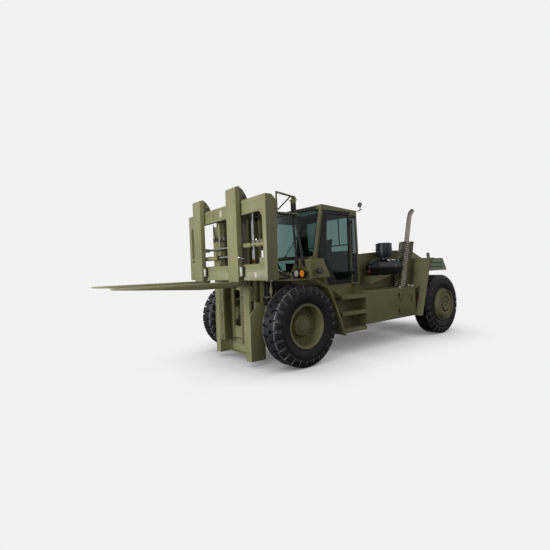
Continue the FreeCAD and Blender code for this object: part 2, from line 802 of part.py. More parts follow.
def door_glass():
    return side_profile(door_outline(-door_frame_width), cab_half - 24, cab_half - 16)


def cowl():
    """Two consoles beside the lower windscreen on a low bridge, open below, with cylinder slots."""
    sheet = 15
    outline = [(cowl_front, cowl_bottom), (cowl_front, cowl_top - 40), (cowl_front - 45, cowl_top),
               (slope_x(cowl_top), cowl_top), (slope_x(cowl_bottom), cowl_bottom)]
    inside = [(cowl_front - sheet, cowl_bottom - 1), (cowl_front - sheet, cowl_top - 46),
              (cowl_front - 50, cowl_top - sheet), (slope_x(cowl_top) + sheet, cowl_top - sheet),
              (slope_x(cowl_bottom) + sheet, cowl_bottom - 1)]
    shape = side_profile(outline, -cowl_half, cowl_half)
    shape = shape.cut(side_profile(inside, -cowl_half + sheet, cowl_half - sheet))
    block = side_profile(outline, -cowl_half, cowl_half)
    well = front_profile(well_outline(0), cowl_front + 1, cab_front_low - 60)
    lining = block.common(front_profile(well_outline(sheet), cowl_front + 1, cab_front_low - 60))
    shape = fuse([shape.cut(well), lining.cut(well)])
    shelf = box(cowl_front, hose_foot_x + 42, hose_shelf_in, hose_shelf_out, hose_shelf_z - 12, hose_shelf_z)
    webs = [side_profile([(cowl_front, hose_shelf_z - 12), (hose_foot_x + 30, hose_shelf_z - 12),
                          (cowl_front, hose_shelf_z - 60)], y, y + 8)
            for y in (hose_shelf_in, hose_shelf_out - 8)]
    shape = fuse([shape, shelf] + webs)
    for y in (tilt_y, -tilt_y):
        shape = shape.cut(box(cowl_front - 200, cowl_front + 1, y - 110, y + 110, cowl_bottom - 1, 1720))
    return shape


def well_outline(grow):
    """Gap between the consoles in Y and Z, made larger by grow."""
    low, high = low_pane_bottom - 22 - grow, cowl_top + 1
    return [(-well_half - grow, low), (well_half + grow, low),
            (well_half_top + grow, high), (-well_half_top - grow, high)]


well_half = 452
well_half_top = 640
hose_foot_x = -348
hose_foot_ys = (709, 884)
hose_shelf_in = 668
hose_shelf_out = 928
hose_shelf_z = 1812


def hose_fittings():
    """Gland on the console's shelf for each hose from the mast's guide."""
    glands = []
    for y in hose_foot_ys:
        x = hose_foot_x
        glands.append(fuse([rod((x, y, hose_shelf_z), (x, y, hose_shelf_z + 18), 36),
                            rod((x, y, hose_shelf_z), (x, y, hose_gland_top), 31)]))
    return glands


hose_gland_top = hose_shelf_z + 40
hose_radius = 24


def inner_slope_x(z):
    """X of the inner side of the cab's lower front wall, with a seat gap."""
    run = (cab_knee_x - cab_front_low) / (cab_knee_z - cab_floor_z - cab_wall)
    return cab_front_low - cab_wall + (z - cab_floor_z - cab_wall) * run - running_gap


seat_rear = cab_back_x + 210


def seat():
    """Seat box, cushion and leaning back."""
    base = box(seat_rear + 400, seat_rear, -230, 230, cab_floor_z + cab_wall, 1640)
    cushion = box(seat_rear + 520, seat_rear, -260, 260, 1640, 1780)
    back = side_profile([(seat_rear + 110, 1780), (seat_rear, 1780), (seat_rear - 90, 2480),
                         (seat_rear, 2480)], -250, 250)
    return fuse([base, cushion, back])


wheel_radius = 205


def controls():
    """Steering column, wheel and dash pod."""
    floor_z = cab_floor_z + cab_wall
    pod = side_profile([(inner_slope_x(floor_z), floor_z), (inner_slope_x(1900), 1900), (-1000, 1900),
                        (-1200, 1600), (-1200, floor_z)], -260, 260)
    column = rod((-1040, 0, 1745), (-1226, 0, 2133), 45)
    hub = V(-1225, 0, 2130)
    wheel = Part.makeTorus(wheel_radius, 16, hub, V(-125, 0, 260))
    ends = [hub + V(0, wheel_radius, 0), hub - V(0, wheel_radius, 0),
            hub + V(-260, 0, -125).normalize() * wheel_radius]
    spokes = [rod(hub, end, 11) for end in ends]
    return fuse([pod, column, wheel] + spokes)


# ---- engine fittings on the left deck -----------------------------------------------------
cleaner_y = 930
cleaner_z = 1745
cleaner_radius = 177
pipe_y = 950
stack_x = tank_rear + 70
cleaner_inlet = cab_back_x - 200
cleaner_front = cleaner_inlet - 200
cleaner_end = stack_x + 140
cleaner_rear = cleaner_end + 140


def air_cleaner():
    """Canister with a tapered inlet end, rear cap, clamp bands and a drum pre-cleaner on top."""
    y, z, r = cleaner_y, cleaner_z, cleaner_radius
    front, rear = cleaner_front, cleaner_rear
    taper = Part.makeCone(92, r, 120, V(front + 120, y, z), V(-1, 0, 0))
    parts = [rod((front, y, z), (rear, y, z), r), taper,
             rod((cleaner_inlet, y, z), (front + 110, y, z), 58),
             rod((rear, y, z), (cleaner_end, y, z), r - 38),
             rod((rear + 190, y, z), (rear + 160, y, z), r + 9),
             rod((front - 70, y, z), (front - 95, y, z), r + 5),
             rod((cleaner_neck_x, y, z), (cleaner_neck_x, y, 1990), 84),
             rod((cleaner_neck_x, y, 1985), (cleaner_neck_x, y, 2305), precleaner_radius),
             rod((cleaner_neck_x, y, 2150), (cleaner_neck_x, y, 2172), precleaner_radius + 6)]
    return [fuse(parts)]


cleaner_neck_x = (cleaner_front + cleaner_rear) / 2 - 20
precleaner_radius = 185
shelf_z = 1540
shelf_front = cleaner_inlet - 50
shelf_rear = cleaner_rear + 210


def cleaner_bracket():
    """Shelf from the hood's side with a hanging gusset and two saddles under the canister."""
    out = cleaner_y + 70
    parts = [box(shelf_front, shelf_rear, hood_half, out, shelf_z, shelf_z + 12),
             side_profile([(shelf_front, shelf_z), (shelf_rear, shelf_z), (shelf_front, shelf_z - 165)],
                          out - 12, out),
             front_profile([(hood_half, shelf_z), (out, shelf_z), (out, shelf_z - 165),
                            (hood_half, shelf_z - 165)], shelf_front - 12, shelf_front)]
    for x in (shelf_front - 320, shelf_rear + 80):
        parts.append(box(x, x - 40, cleaner_y - 90, cleaner_y + 60, shelf_z + 12, shelf_z + 70))
    can = rod((cleaner_front + 50, cleaner_y, cleaner_z), (cleaner_rear + 10, cleaner_y, cleaner_z), cleaner_radius)
    return [fuse(parts).cut(can)]


def lean(z):
    """X of the leaning exhaust pipe at a height."""
    return stack_x - (z - stack_foot_z) * stack_lean


def exhaust_pipe():
    """Leaning stack whose tip sweeps back, standing on the tank's top."""
    low = V(lean(tank_top - 60), pipe_y, tank_top - 60)
    bend = V(lean(stack_bend_z), pipe_y, stack_bend_z)
    up = (bend - low).normalize()
    tip_way = V(-sin(radians(stack_tip_angle)), 0, cos(radians(stack_tip_angle)))
    half_turn = up.getAngle(tip_way) / 2
    back = stack_bend_radius * sin(half_turn) / cos(half_turn)
    start, end = bend - up * back, bend + tip_way * back
    chord = (tip_way - up).normalize()
    middle = bend + chord * (stack_bend_radius / cos(half_turn) - stack_bend_radius)
    tip = end + tip_way * stack_tip
    wire = Part.Wire([Part.makeLine(low, start), Part.Arc(start, middle, end).toShape(),
                      Part.makeLine(end, tip)])
    section = Part.Wire([Part.makeCircle(pipe_radius, low, up)])
    stack = wire.makePipeShell([section], True, False)
    inside = rod(tuple(tip - tip_way * 110), tuple(tip + tip_way * 5), pipe_radius - 4)
    below = box(low.x - 200, low.x + 200, pipe_y - 200, pipe_y + 200, tank_top - 200, tank_top)
    return stack.cut(inside).cut(below)


stack_foot_z = tank_top + 41
stack_lean = 0.235
pipe_radius = 62
stack_bend_z = 3030
stack_bend_radius = 260
stack_tip_angle = 48
stack_tip = 90
shield_low = 1262
shield_high = 2350
shield_sheet = 6


def heat_shield():
    """Folded sheet behind the stack's lower length, with splayed edges and four stays."""
    t = shield_sheet
    line = [(182, 70), (115, -120), (-115, -120), (-200, 70)]
    back = [(-200 - t, 70), (-115 - t, -120 - t), (115 + t, -120 - t), (182 + t, 70)]
    x0 = lean(shield_low)
    plan = [V(x0 + x, pipe_y + y, shield_low) for x, y in line + back]
    rise = V(lean(shield_high) - x0, 0, shield_high - shield_low)
    sheet = face_of(plan).extrude(rise)
    stays = []
    for z in (1400, 1700, 2000, 2280):
        stays.append(box(lean(z) - 12, lean(z) + 12, pipe_y - 120, pipe_y - pipe_radius + 8, z - 14, z + 14))
    low = (lean(1200), pipe_y, 1200)
    high = (lean(2400), pipe_y, 2400)
    return fuse([sheet] + stays).cut(rod(low, high, pipe_radius + running_gap))


def lamps():
    """Head and turn lamps on each console, a round lamp at its side and one on the roof's corner."""
    parts = []
    for y in lamp_ys:
        lamp = rod((cowl_front + 62, y, lamp_z), (cowl_front + 135, y, lamp_z), lamp_radius)
        stalk = box(cowl_front, cowl_front + 62, y - 20, y + 20, lamp_z - 20, lamp_z + 20)
        parts += both_sides(fuse([lamp, stalk]))
    side = rod((-560, cowl_half, 1720), (-560, cowl_half + 30, 1720), 25)
    head = rod((-590, cowl_half + 78, 1720), (-520, cowl_half + 78, 1720), 68)
    arm = box(-575, -545, cowl_half + 20, cowl_half + 70, 1705, 1735)
    parts += both_sides(fuse([side, head, arm]))
    foot_x = cab_back_x + 95
    foot = box(foot_x - 25, foot_x + 25, cab_half, cab_half + 8, cab_back_z - 70, cab_back_z - 14)
    bar = rod((foot_x, cab_half + 16, cab_back_z - 30), (foot_x - 165, cab_half + 75, cab_back_z + 25), 10)
    stem = rod((foot_x - 118, cab_half + 58, cab_back_z + 8), (foot_x - 118, cab_half + 70, cab_back_z + 124), 12)
    lamp = rod((foot_x - 140, cab_half + 70, cab_back_z + 124), (foot_x - 90, cab_half + 70, cab_back_z + 124), 55)
    parts.append(fuse([foot, bar, stem, lamp]))
    return parts


lamp_ys = (745, 905)
lamp_z = 1682
lamp_radius = 64


# ---- mast ---------------------------------------------------------------------------------
def outer_rail():
    """Left upright: a channel open outwards."""
    web = box(mast_rear, mast_front, outer_web_y, outer_web_y + rail_web, mast_bottom, outer_top)
    front = box(mast_front - rail_flange, mast_front, outer_web_y + rail_web, outer_half,
                mast_bottom, outer_top)
    rear = box(mast_rear, mast_rear + rail_flange, outer_web_y + rail_web, outer_half,
               mast_bottom, outer_top)
    cover = side_profile([(mast_rear, mast_bottom), (mast_front, mast_bottom), (mast_front, 940),
                          (585, 1185), (mast_rear, 1185)], outer_half, outer_half + cover_plate)
    hanger = side_profile([(mast_rear, mast_pivot_z + 190), (mast_rear, mast_pivot_z - 170),
                           (mast_pivot_x, mast_pivot_z - 80), (mast_pivot_x, mast_pivot_z + 80)],
                          hanger_in, hanger_in + 30)
    boss = rod((mast_pivot_x, hanger_in, mast_pivot_z), (mast_pivot_x, hanger_in + 30, mast_pivot_z), 95)
    pin = rod((mast_pivot_x, frame_half - frame_plate - 20, mast_pivot_z),
              (mast_pivot_x, hanger_in + 30, mast_pivot_z), mast_pin_radius)
    return [web, front, rear, cover, hanger, boss, pin]


hanger_in = frame_half + clear_gap


def tilt_ears():
    """Clevis for the tilt cylinder's eye, behind the upright."""
    outline = [(mast_rear + 20, tilt_mast_z + 90), (mast_rear + 20, tilt_mast_z - 90),
               (tilt_mast_x, tilt_mast_z - 55), (tilt_mast_x - 55, tilt_mast_z),
               (tilt_mast_x, tilt_mast_z + 55)]
    return clevis(outline, tilt_mast_x, tilt_mast_z)


def outer_mast():
    half = outer_rail() + tilt_ears()
    parts = half + [mirrored(s) for s in half]
    w = outer_web_y
    parts.append(box(mast_rear, mast_rear + 22, -w, w, mast_bottom, 380))
    parts.append(box(mast_rear, 545, -w, w, mast_bottom, mast_bottom + 25))
    parts.append(box(mast_rear - 40, mast_rear, -outer_half, outer_half, 1380, 1620))
    parts.append(box(mast_rear - 40, mast_rear, -outer_half, outer_half, outer_top - 240, outer_top - 20))
    return fuse(parts)


def lift_barrels():
    bore = lift_rod_radius + running_gap
    body = rod((lift_x, lift_y, lift_barrel_bottom), (lift_x, lift_y, lift_barrel_top), lift_barrel_radius)
    hollow = rod((lift_x, lift_y, lift_barrel_bottom + 60), (lift_x, lift_y, lift_barrel_top + 1), bore)
    foot = box(mast_rear + rail_flange, mast_front - rail_flange, outer_web_y + rail_web, outer_half,
               lift_barrel_bottom - 30, lift_barrel_bottom)
    strap = box(mast_rear + rail_flange, mast_front - rail_flange, outer_web_y + rail_web,
                lift_y, 1700, 1740).cut(body)
    tube = body.cut(hollow)
    return both_sides(fuse([tube, foot, strap]))


def inner_mast():
    f, w = rail_flange, 36
    outside = outer_web_y - 6
    rail = [box(inner_rear, inner_front, outside - w, outside, inner_bottom, yoke_bottom),
            box(inner_front - f, inner_front, inner_lip_y, outside - w, inner_bottom, yoke_bottom),
            box(inner_rear, inner_rear + f, inner_lip_y, outside - w, inner_bottom, yoke_bottom)]
    parts = rail + [mirrored(s) for s in rail]
    parts.append(box(inner_rear, inner_front, -outer_half, outer_half, yoke_bottom, yoke_top))
    parts.append(box(inner_rear, inner_rear + 25, -inner_lip_y, inner_lip_y, inner_bottom + 20,
                     inner_bottom + 260))
    parts.append(box(inner_rear, inner_rear + 25, -inner_lip_y, inner_lip_y, 2000, 2200))
    return fuse(parts)


lift_rod_end = lift_barrel_bottom + 60 + 300


def lift_rods():
    return both_sides(rod((lift_x, lift_y, lift_rod_end), (lift_x, lift_y, yoke_bottom), lift_rod_radius))


sheave_radius = 105
sheave_z = yoke_bottom - 160
sheave_x = 610
chain_y = 190
chain_width = 60
chain_thickness = 24
anchor_z = 1760
chain_x = sheave_x + sheave_radius + running_gap


def sheaves():
    """Chain sheaves on brackets under the yoke."""
    parts = []
    wheel = rod((sheave_x, chain_y - 32, sheave_z), (sheave_x, chain_y + 32, sheave_z), sheave_radius)
    pin = rod((sheave_x, chain_y - 60, sheave_z), (sheave_x, chain_y + 60, sheave_z), 30)
    parts = [wheel, pin]
    for y in (chain_y - 60, chain_y + 40):
        parts.append(box(sheave_x - 50, sheave_x + 50, y, y + 20, sheave_z - 50, yoke_bottom))
    return both_sides(fuse(parts))


def lift_chains():
    """Front fall of each leaf chain, from its sheave to the carriage."""
    return both_sides(box(chain_x, chain_x + chain_thickness, chain_y - chain_width / 2, chain_y + chain_width / 2,
                          anchor_z, sheave_z))


guide_y = 760
guide_top = 3240
guide_low = 2860
guide_front = 140
guide_rear = -320
guide_tube = 19
hose_top_z = 3110
hose_top_x = guide_rear + 50
hose_top_ys = (guide_y - 31, guide_y + 31)
collar_length = 60


def hose_guide():
    """Tube frame that carries the hoses out behind the mast, with a collar for each hose."""
    r, top, low, a, b = guide_tube, guide_top, guide_low, guide_front, guide_rear
    cross_rear = mast_rear - 40
    tubes = [rod((a, guide_y, low), (a, guide_y, top), r), rod((a, guide_y, top), (b, guide_y, top - 60), r),
             rod((b, guide_y, top - 60), (b, guide_y, low), r),
             rod((b + 110, guide_y, top - 50), (a - 40, guide_y, low + 60), r - 5),
             rod((a - 40, guide_y, low + 60), (a, guide_y, low + 60), r - 5)]
    for x, z in ((a, top), (b, top - 60)):
        tubes.append(Part.makeSphere(r, V(x, guide_y, z)))
    tubes.append(Part.makeSphere(r - 5, V(a - 40, guide_y, low + 60)))
    tray = box(b - r, cross_rear, guide_y - 72, guide_y + 72, low - 30, low)
    post = box(cross_rear - 24, cross_rear, outer_half - 160, guide_y + 72, outer_top - 240, low)
    head = box(b, b + 92, guide_y - 68, guide_y + 68, hose_top_z, hose_top_z + 16)
    web = box(b, b + 92, guide_y - 6, guide_y + 6, hose_top_z + 16, top - 55)
    collars = [rod((hose_top_x, y, hose_top_z), (hose_top_x, y, hose_top_z - collar_length), hose_radius + 8)
               for y in hose_top_ys]
    frame = fuse(tubes + [tray, post, head, web] + collars)
    for route in hose_routes():
        x, y, z = route[0]
        frame = frame.cut(rod((x, y, z), (x, y, z - collar_length - 1), hose_radius + running_gap))
        frame = frame.cut(rod(route[1], route[2], hose_radius + 5))
    return frame


def hose_routes():
    """Points of both hoses, from the guide's collars down to the console's glands."""
    z0, z1 = hose_top_z, hose_gland_top
    routes = []
    for top_y, foot_y, bow in zip(hose_top_ys, hose_foot_ys, (3, 6)):
        x0, x1 = hose_top_x, hose_foot_x
        routes.append([(x0, top_y, z0), (x0, top_y, z0 - 222),
                       (x0 + 0.42 * (x1 - x0) + bow, top_y + 0.44 * (foot_y - top_y), z0 - 630),
                       (x1, foot_y, z1 + 220), (x1, foot_y, z1)])
    return routes


def hose(points):
    """Round hose along straight runs joined by tangent arcs."""
    spots = [V(*p) for p in points]
    edges = []
    at = spots[0]
    radii = []
    for before, here, after in zip(spots, spots[1:], spots[2:]):
        into, out = (here - before), (after - here)
        shorter = min(into.Length, out.Length)
        into.normalize()
        out.normalize()
        half_turn = into.getAngle(out) / 2
        reach = 0.45 * shorter
        radius = reach * cos(half_turn) / sin(half_turn)
        radii.append(round(radius))
        start, end = here - into * reach, here + out * reach
        middle = here + (out - into).normalize() * (radius / cos(half_turn) - radius)
        edges += [Part.LineSegment(at, start).toShape(), Part.Arc(start, middle, end).toShape()]
        at = end
    edges.append(Part.LineSegment(at, spots[-1]).toShape())
    path = Part.Wire(edges)
    section = Part.Wire([Part.makeCircle(hose_radius, spots[0], spots[1] - spots[0])])
    tube = path.makePipeShell([section], True, False)
    ratio = tube.Volume / (pi * hose_radius ** 2 * path.Length)
    print("hose radii", radii, "length", round(path.Length), "volume ratio", round(ratio, 4))
    return tube


# ---- carriage and forks -------------------------------------------------------------------
positioner_x = 880
upper_positioner_z = 2215
lower_positioner_z = 2045
positioner_barrel = 42
positioner_rod = 22
positioner_reach = 210
positioner_grip = 80
end_post_y = carriage_half - 110
roller_radius = 92
roller_zs = (lower_beam_bottom + 134, (lower_beam_bottom + upper_beam_bottom) / 2 + 98, upper_beam_bottom + 62)
hook_lip = upper_beam_top - 70


def carriage():
    """Two beams between tall end plates, on roller brackets that run in the inner mast."""
    half = carriage_half
    parts = [box(carriage_back, carriage_front, -half, half, lower_beam_bottom, lower_beam_top),
             box(carriage_back, carriage_front, -half, half, upper_beam_bottom, upper_beam_top)]
    chamfer = 90
    inner_edge = end_post_y
    post = [(inner_edge, lower_beam_top), (half, lower_beam_top), (half, upper_beam_bottom),
            (inner_edge - chamfer, upper_beam_bottom), (inner_edge, upper_beam_bottom - chamfer)]
    plate = side_profile([(700, lower_beam_bottom), (carriage_back, lower_beam_bottom),
                          (carriage_back, upper_beam_top), (790, upper_beam_top),
                          (700, upper_beam_top - 89)],
                         half - end_plate, half)
    cheek = side_profile([(560, lower_beam_bottom), (carriage_back, lower_beam_bottom),
                          (carriage_back, lower_beam_top + 40), (815, lower_beam_top + 80),
                          (815, upper_beam_bottom - 40), (carriage_back, upper_beam_bottom),
                          (carriage_back, hook_lip - clear_gap), (560, hook_lip - clear_gap)],
                         roller_bracket_y, roller_bracket_y + roller_bracket)
    halves = [front_profile(post, carriage_back, carriage_front), plate, cheek]
    for z in roller_zs:
        halves.append(rod((615, roller_bracket_y + roller_bracket, z),
                          (615, 450, z), roller_radius))
    parts += halves + [mirrored(s) for s in halves]
    parts.append(box(560, 600, -roller_bracket_y, roller_bracket_y, lower_beam_bottom, lower_beam_bottom + 120))
    parts.append(box(600, carriage_back, -roller_bracket_y, roller_bracket_y, lower_beam_bottom, anchor_z - 60))
    for y in (chain_y, -chain_y):
        parts.append(box(chain_x - 10, chain_x + chain_thickness + 10, y - 40, y + 40, anchor_z - 60, anchor_z))
    return fuse(parts)


def positioner_barrels():
    """Fork positioner cylinders: the upper starts at the left end, the lower at the right."""
    parts = []
    end = end_post_y
    for z, side in ((upper_positioner_z, 1), (lower_positioner_z, -1)):
        tube = rod((positioner_x, side * positioner_reach, z), (positioner_x, side * end, z), positioner_barrel)
        bore = rod((positioner_x, side * (positioner_reach - 1), z), (positioner_x, side * (end - 60), z),
                   positioner_rod + running_gap)
        parts.append(tube.cut(bore))
    return parts


heel_radius = 90


def fork():
    """L-shaped fork about its own middle: blade, shank, hooks and positioner lug."""
    face = fork_rear + fork_thickness
    bottom = fork_top - fork_thickness
    tip = face + fork_length
    outline = [(fork_rear, bottom + heel_radius), (fork_rear, fork_shank_top), (face - 8, fork_shank_top - 22),
               (face, fork_shank_top - 50), (face, fork_top), (tip, fork_top), (tip, fork_top - 22),
               (face + 700, bottom), (fork_rear + heel_radius, bottom)]
    half = fork_width / 2
    solid = side_profile(outline, -half, half)
    for side in (1, -1):
        corner = plan_profile([(tip - 320, side * (half + 1)), (tip + 1, side * (half + 1)),
                               (tip + 1, side * (half - 110))], bottom - 1, fork_top + 1)
        solid = solid.cut(corner)
    gap = clear_gap
    ears = []
    for y in (-half + 30, half - 80):
        ears.append(side_profile([(fork_rear, upper_beam_top + gap), (fork_rear, fork_shank_top - 18),
                                  (905, fork_shank_top - 22), (868, fork_shank_top - 48),
                                  (800, upper_beam_top + 120), (775, upper_beam_top + 60), (780, hook_lip),
                                  (carriage_back - gap, hook_lip),
                                  (carriage_back - gap, upper_beam_top + gap)], y, y + 50))
    ears.append(rod((850, -half + 20, upper_beam_top + 75), (850, half - 20, upper_beam_top + 75), 38))
    toe = side_profile([(fork_rear, lower_beam_bottom - gap), (carriage_back - gap, lower_beam_bottom - gap),
                        (carriage_back - gap, lower_beam_bottom - 50), (fork_rear, lower_beam_bottom - 90)],
                       -half + 40, half - 40)
    return fuse([solid, toe] + ears)


def placed_fork(y, rod_z, side):
    """Fork at its place along the carriage, with the lug that its positioner rod holds."""
    shape = fork()
    shape.translate(V(0, y, 0))
    lug = box(positioner_x - 36, fork_rear, y - side * fork_width / 2, y - side * (fork_width / 2 - 60),
              rod_z - 36, rod_z + 36)
    return fuse([shape, lug])


def positioner_rods(y, rod_z, side):
    """Rod from a fork's lug into the barrel on the other side of the carriage."""
    outer_stop = end_post_y - clear_gap - fork_width / 2
    start = y - side * fork_width / 2
    end = -side * (positioner_reach + positioner_grip) - side * (outer_stop - side * y)
    return rod((positioner_x, start, rod_z), (positioner_x, end, rod_z), positioner_rod)


# ---- tilt cylinders -----------------------------------------------------------------------
tilt_dx = tilt_mast_x - tilt_base_x
tilt_dz = tilt_mast_z - tilt_base_z
tilt_length = hypot(tilt_dx, tilt_dz)
tilt_eye_play = 12
tilt_tube_start = 105


def along_tilt(distance, y):
    """Point on the tilt cylinder's middle line, measured from its base pin."""
    k = distance / tilt_length
    return (tilt_base_x + tilt_dx * k, y, tilt_base_z + tilt_dz * k)


def tilt_barrel():
    y = tilt_y
    tube = rod(along_tilt(tilt_tube_start, y), along_tilt(tilt_barrel_length, y), tilt_barrel_radius)
    bore = rod(along_tilt(150, y), along_tilt(tilt_barrel_length + 1, y), tilt_rod_radius + running_gap)
    eye = rod((tilt_base_x, y - tilt_eye_half, tilt_base_z), (tilt_base_x, y + tilt_eye_half, tilt_base_z),
              tilt_eye_radius)
    hole = rod((tilt_base_x, y - 100, tilt_base_z), (tilt_base_x, y + 100, tilt_base_z),
               tilt_pin_radius + running_gap)
    neck = rod(along_tilt(20, y), along_tilt(tilt_tube_start + 10, y), tilt_eye_half - 6)
    return fuse([tube, eye, neck]).cut(bore).cut(hole)


def tilt_rod():
    y = tilt_y
    bar = rod(along_tilt(430, y), along_tilt(tilt_length - 30, y), tilt_rod_radius)
    eye = rod((tilt_mast_x, y - tilt_eye_half, tilt_mast_z), (tilt_mast_x, y + tilt_eye_half, tilt_mast_z),
              tilt_eye_radius)
    hole = rod((tilt_mast_x, y - 100, tilt_mast_z), (tilt_mast_x, y + 100, tilt_mast_z),
               tilt_pin_radius + tilt_eye_play)
    return fuse([bar, eye]).cut(hole)


# ---- build --------------------------------------------------------------------------------
def build():
    os.makedirs("parts", exist_ok=True)
    save("chassis_frame", [chassis_frame()])
    save("drive_axle", [drive_axle()])
    save("steer_axle", [steer_axle()])
    save("engine_block", [engine_block()])
    save("counterweight", [counterweight()])
    save("side_tanks", side_tanks())
    save("compartment_door", [compartment_door()])
    save("arch_plates", arch_plates())
    save("engine_hood", [engine_hood()])
    save("hood_lid", [hood_lid()])
    save("rear_louvres", rear_louvres())
    save("boarding_steps", boarding_steps())
    save("mudguards", mudguards())
    save("cab_shell", [cab_shell()])
    save("cab_glass", cab_glass())
    save("cowl", [cowl()])
    save("seat", [seat()])
    save("controls", [controls()])
    save("door_frame_left", [door_frame()])
    save("door_glass_left", [door_glass()])
    save("door_frame_right", [mirrored(door_frame())])
    save("door_glass_right", [mirrored(door_glass())])
    save("air_cleaner", air_cleaner())
    save("cleaner_bracket", cleaner_bracket())
    save("exhaust_pipe", [exhaust_pipe()])
    save("heat_shield", [heat_shield()])
    save("lamps", lamps())
    save("hose_fittings", hose_fittings())
    for name, route in zip(("near", "far"), reversed(hose_routes())):
        save("guide_hose_" + name, [hose(route)])

    save("outer_mast", [outer_mast()])
    save("lift_barrels", lift_barrels())
    save("inner_mast", [inner_mast()])
    save("lift_rods", lift_rods())
    save("sheaves", sheaves())
    save("lift_chains", lift_chains())
    save("hose_guide", [hose_guide()])
    save("carriage", [carriage()])
    save("positioner_barrels", positioner_barrels())
    for name, y, rod_z, side in (("left", fork_left_y, lower_positioner_z, 1),
                                 ("right", fork_right_y, upper_positioner_z, -1)):
        save("fork_" + name, [placed_fork(y, rod_z, side)])
        save("positioner_rod_" + name, [positioner_rods(y, rod_z, side)])
    save("tilt_barrels", both_sides(tilt_barrel()))
    save("tilt_rods", both_sides(tilt_rod()))

    rubber, front, rear = tyre(), front_rim(), rear_rim()
    for name, right in (("left", False), ("right", True)):
        save("tyre_front_" + name, [place_wheel(rubber, 0, front_wheel_y, right)])
        save("rim_front_" + name, [place_wheel(front, 0, front_wheel_y, right)])
        save("tyre_rear_" + name, [place_wheel(rubber, -wheelbase, rear_wheel_y, right)])
        save("rim_rear_" + name, [place_wheel(rear, -wheelbase, rear_wheel_y, right)])
        save("knuckle_" + name, [mirrored(knuckle()) if right else knuckle()])


build()
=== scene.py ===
import json
import math

import bmesh
import bpy
from mathutils import Matrix, Vector


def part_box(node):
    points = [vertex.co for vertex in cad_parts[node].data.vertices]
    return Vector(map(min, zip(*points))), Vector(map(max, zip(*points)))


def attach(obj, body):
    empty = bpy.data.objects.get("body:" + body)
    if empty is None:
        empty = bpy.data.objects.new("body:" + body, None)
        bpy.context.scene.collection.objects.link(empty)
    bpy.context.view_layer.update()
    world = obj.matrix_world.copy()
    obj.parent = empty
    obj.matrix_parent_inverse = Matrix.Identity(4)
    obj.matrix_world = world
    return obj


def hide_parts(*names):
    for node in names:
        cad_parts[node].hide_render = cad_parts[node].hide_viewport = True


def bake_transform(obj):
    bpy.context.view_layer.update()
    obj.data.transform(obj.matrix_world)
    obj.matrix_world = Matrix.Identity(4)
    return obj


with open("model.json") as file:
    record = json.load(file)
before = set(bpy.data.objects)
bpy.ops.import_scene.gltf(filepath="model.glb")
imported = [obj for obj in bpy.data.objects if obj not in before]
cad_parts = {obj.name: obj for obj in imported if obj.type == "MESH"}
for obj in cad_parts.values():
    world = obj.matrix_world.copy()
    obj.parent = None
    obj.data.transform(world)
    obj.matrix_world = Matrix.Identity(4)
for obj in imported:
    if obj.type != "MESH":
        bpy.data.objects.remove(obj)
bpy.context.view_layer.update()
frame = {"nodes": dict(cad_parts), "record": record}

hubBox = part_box("rim_front_left")
axleX = (hubBox[0][0] + hubBox[1][0]) / 2
print("frame loaded, drive axle at", round(axleX, 4))

# Every place below is in metres from the drive axle's middle: X forward, Y to the left, Z up from the ground.
# asPiece moves the finished mesh into the frame.


def linear(hexColor):
    parts = [int(hexColor[i:i + 2], 16) / 255 for i in (1, 3, 5)]
    return [p / 12.92 if p <= 0.04045 else ((p + 0.055) / 1.055) ** 2.4 for p in parts] + [1.0]


def addNode(tree, kind, settings=None, links=None):
    # "stops" are the places and colours of a colour ramp; other settings are sockets or the node's own values
    node = tree.nodes.new("ShaderNode" + kind)
    for key, value in (settings or {}).items():
        if key == "stops":
            elements = node.color_ramp.elements
            while len(elements) < len(value):
                elements.new(0.5)
            for element, (place, color) in zip(elements, value):
                element.position, element.color = place, color
        elif isinstance(key, int) or key in node.inputs:
            node.inputs[key].default_value = value
        else:
            setattr(node, key, value)
    for key, source in (links or {}).items():
        tree.links.new(source, node.inputs[key])
    return node


def startMaterial(name):
    material = bpy.data.materials.new(name)
    material.use_nodes = True
    tree = material.node_tree
    tree.nodes.clear()
    coords = addNode(tree, "TexCoord").outputs["Object"]
    return material, tree, coords


def turnTo(direction):
    return Vector(direction).to_track_quat("Z", "Y").to_matrix().to_4x4()


def join(bm, part, material=0, place=None):
    if place is not None:
        bmesh.ops.transform(part, matrix=place, verts=part.verts[:])
    if material is not None:
        for face in part.faces:
            face.material_index = material
    mesh = bpy.data.meshes.new("part")
    part.to_mesh(mesh)
    part.free()
    bm.from_mesh(mesh)
    bpy.data.meshes.remove(mesh)


def roundEdges(part, width, segments=2, angle=30):
    edges = [e for e in part.edges if len(e.link_faces) == 2 and e.calc_face_angle(0) > math.radians(angle)]
    bmesh.ops.bevel(part, geom=edges, offset=width, offset_type="OFFSET", affect="EDGES",
                    segments=segments, profile=0.5, material=-1, clamp_overlap=True)


def addBox(bm, low, high, bevel=0.0, material=0, segments=2):
    low, high = Vector(low), Vector(high)
    part = bmesh.new()
    bmesh.ops.create_cube(part, size=1, matrix=Matrix.Translation((low + high) / 2)
                          @ Matrix.Diagonal((*(high - low), 1)))
    if bevel:
        roundEdges(part, bevel, segments)
    join(bm, part, material)


def addRod(bm, start, end, radius, sides=24, endRadius=None, material=0, bevel=0.0):
    start, end = Vector(start), Vector(end)
    part = bmesh.new()
    bmesh.ops.create_cone(part, cap_ends=True, segments=sides, radius1=radius,
                          radius2=radius if endRadius is None else endRadius, depth=(end - start).length,
                          matrix=Matrix.Translation((start + end) / 2) @ turnTo(end - start))
    if bevel:
        roundEdges(part, bevel, 2, 50)
    join(bm, part, material)


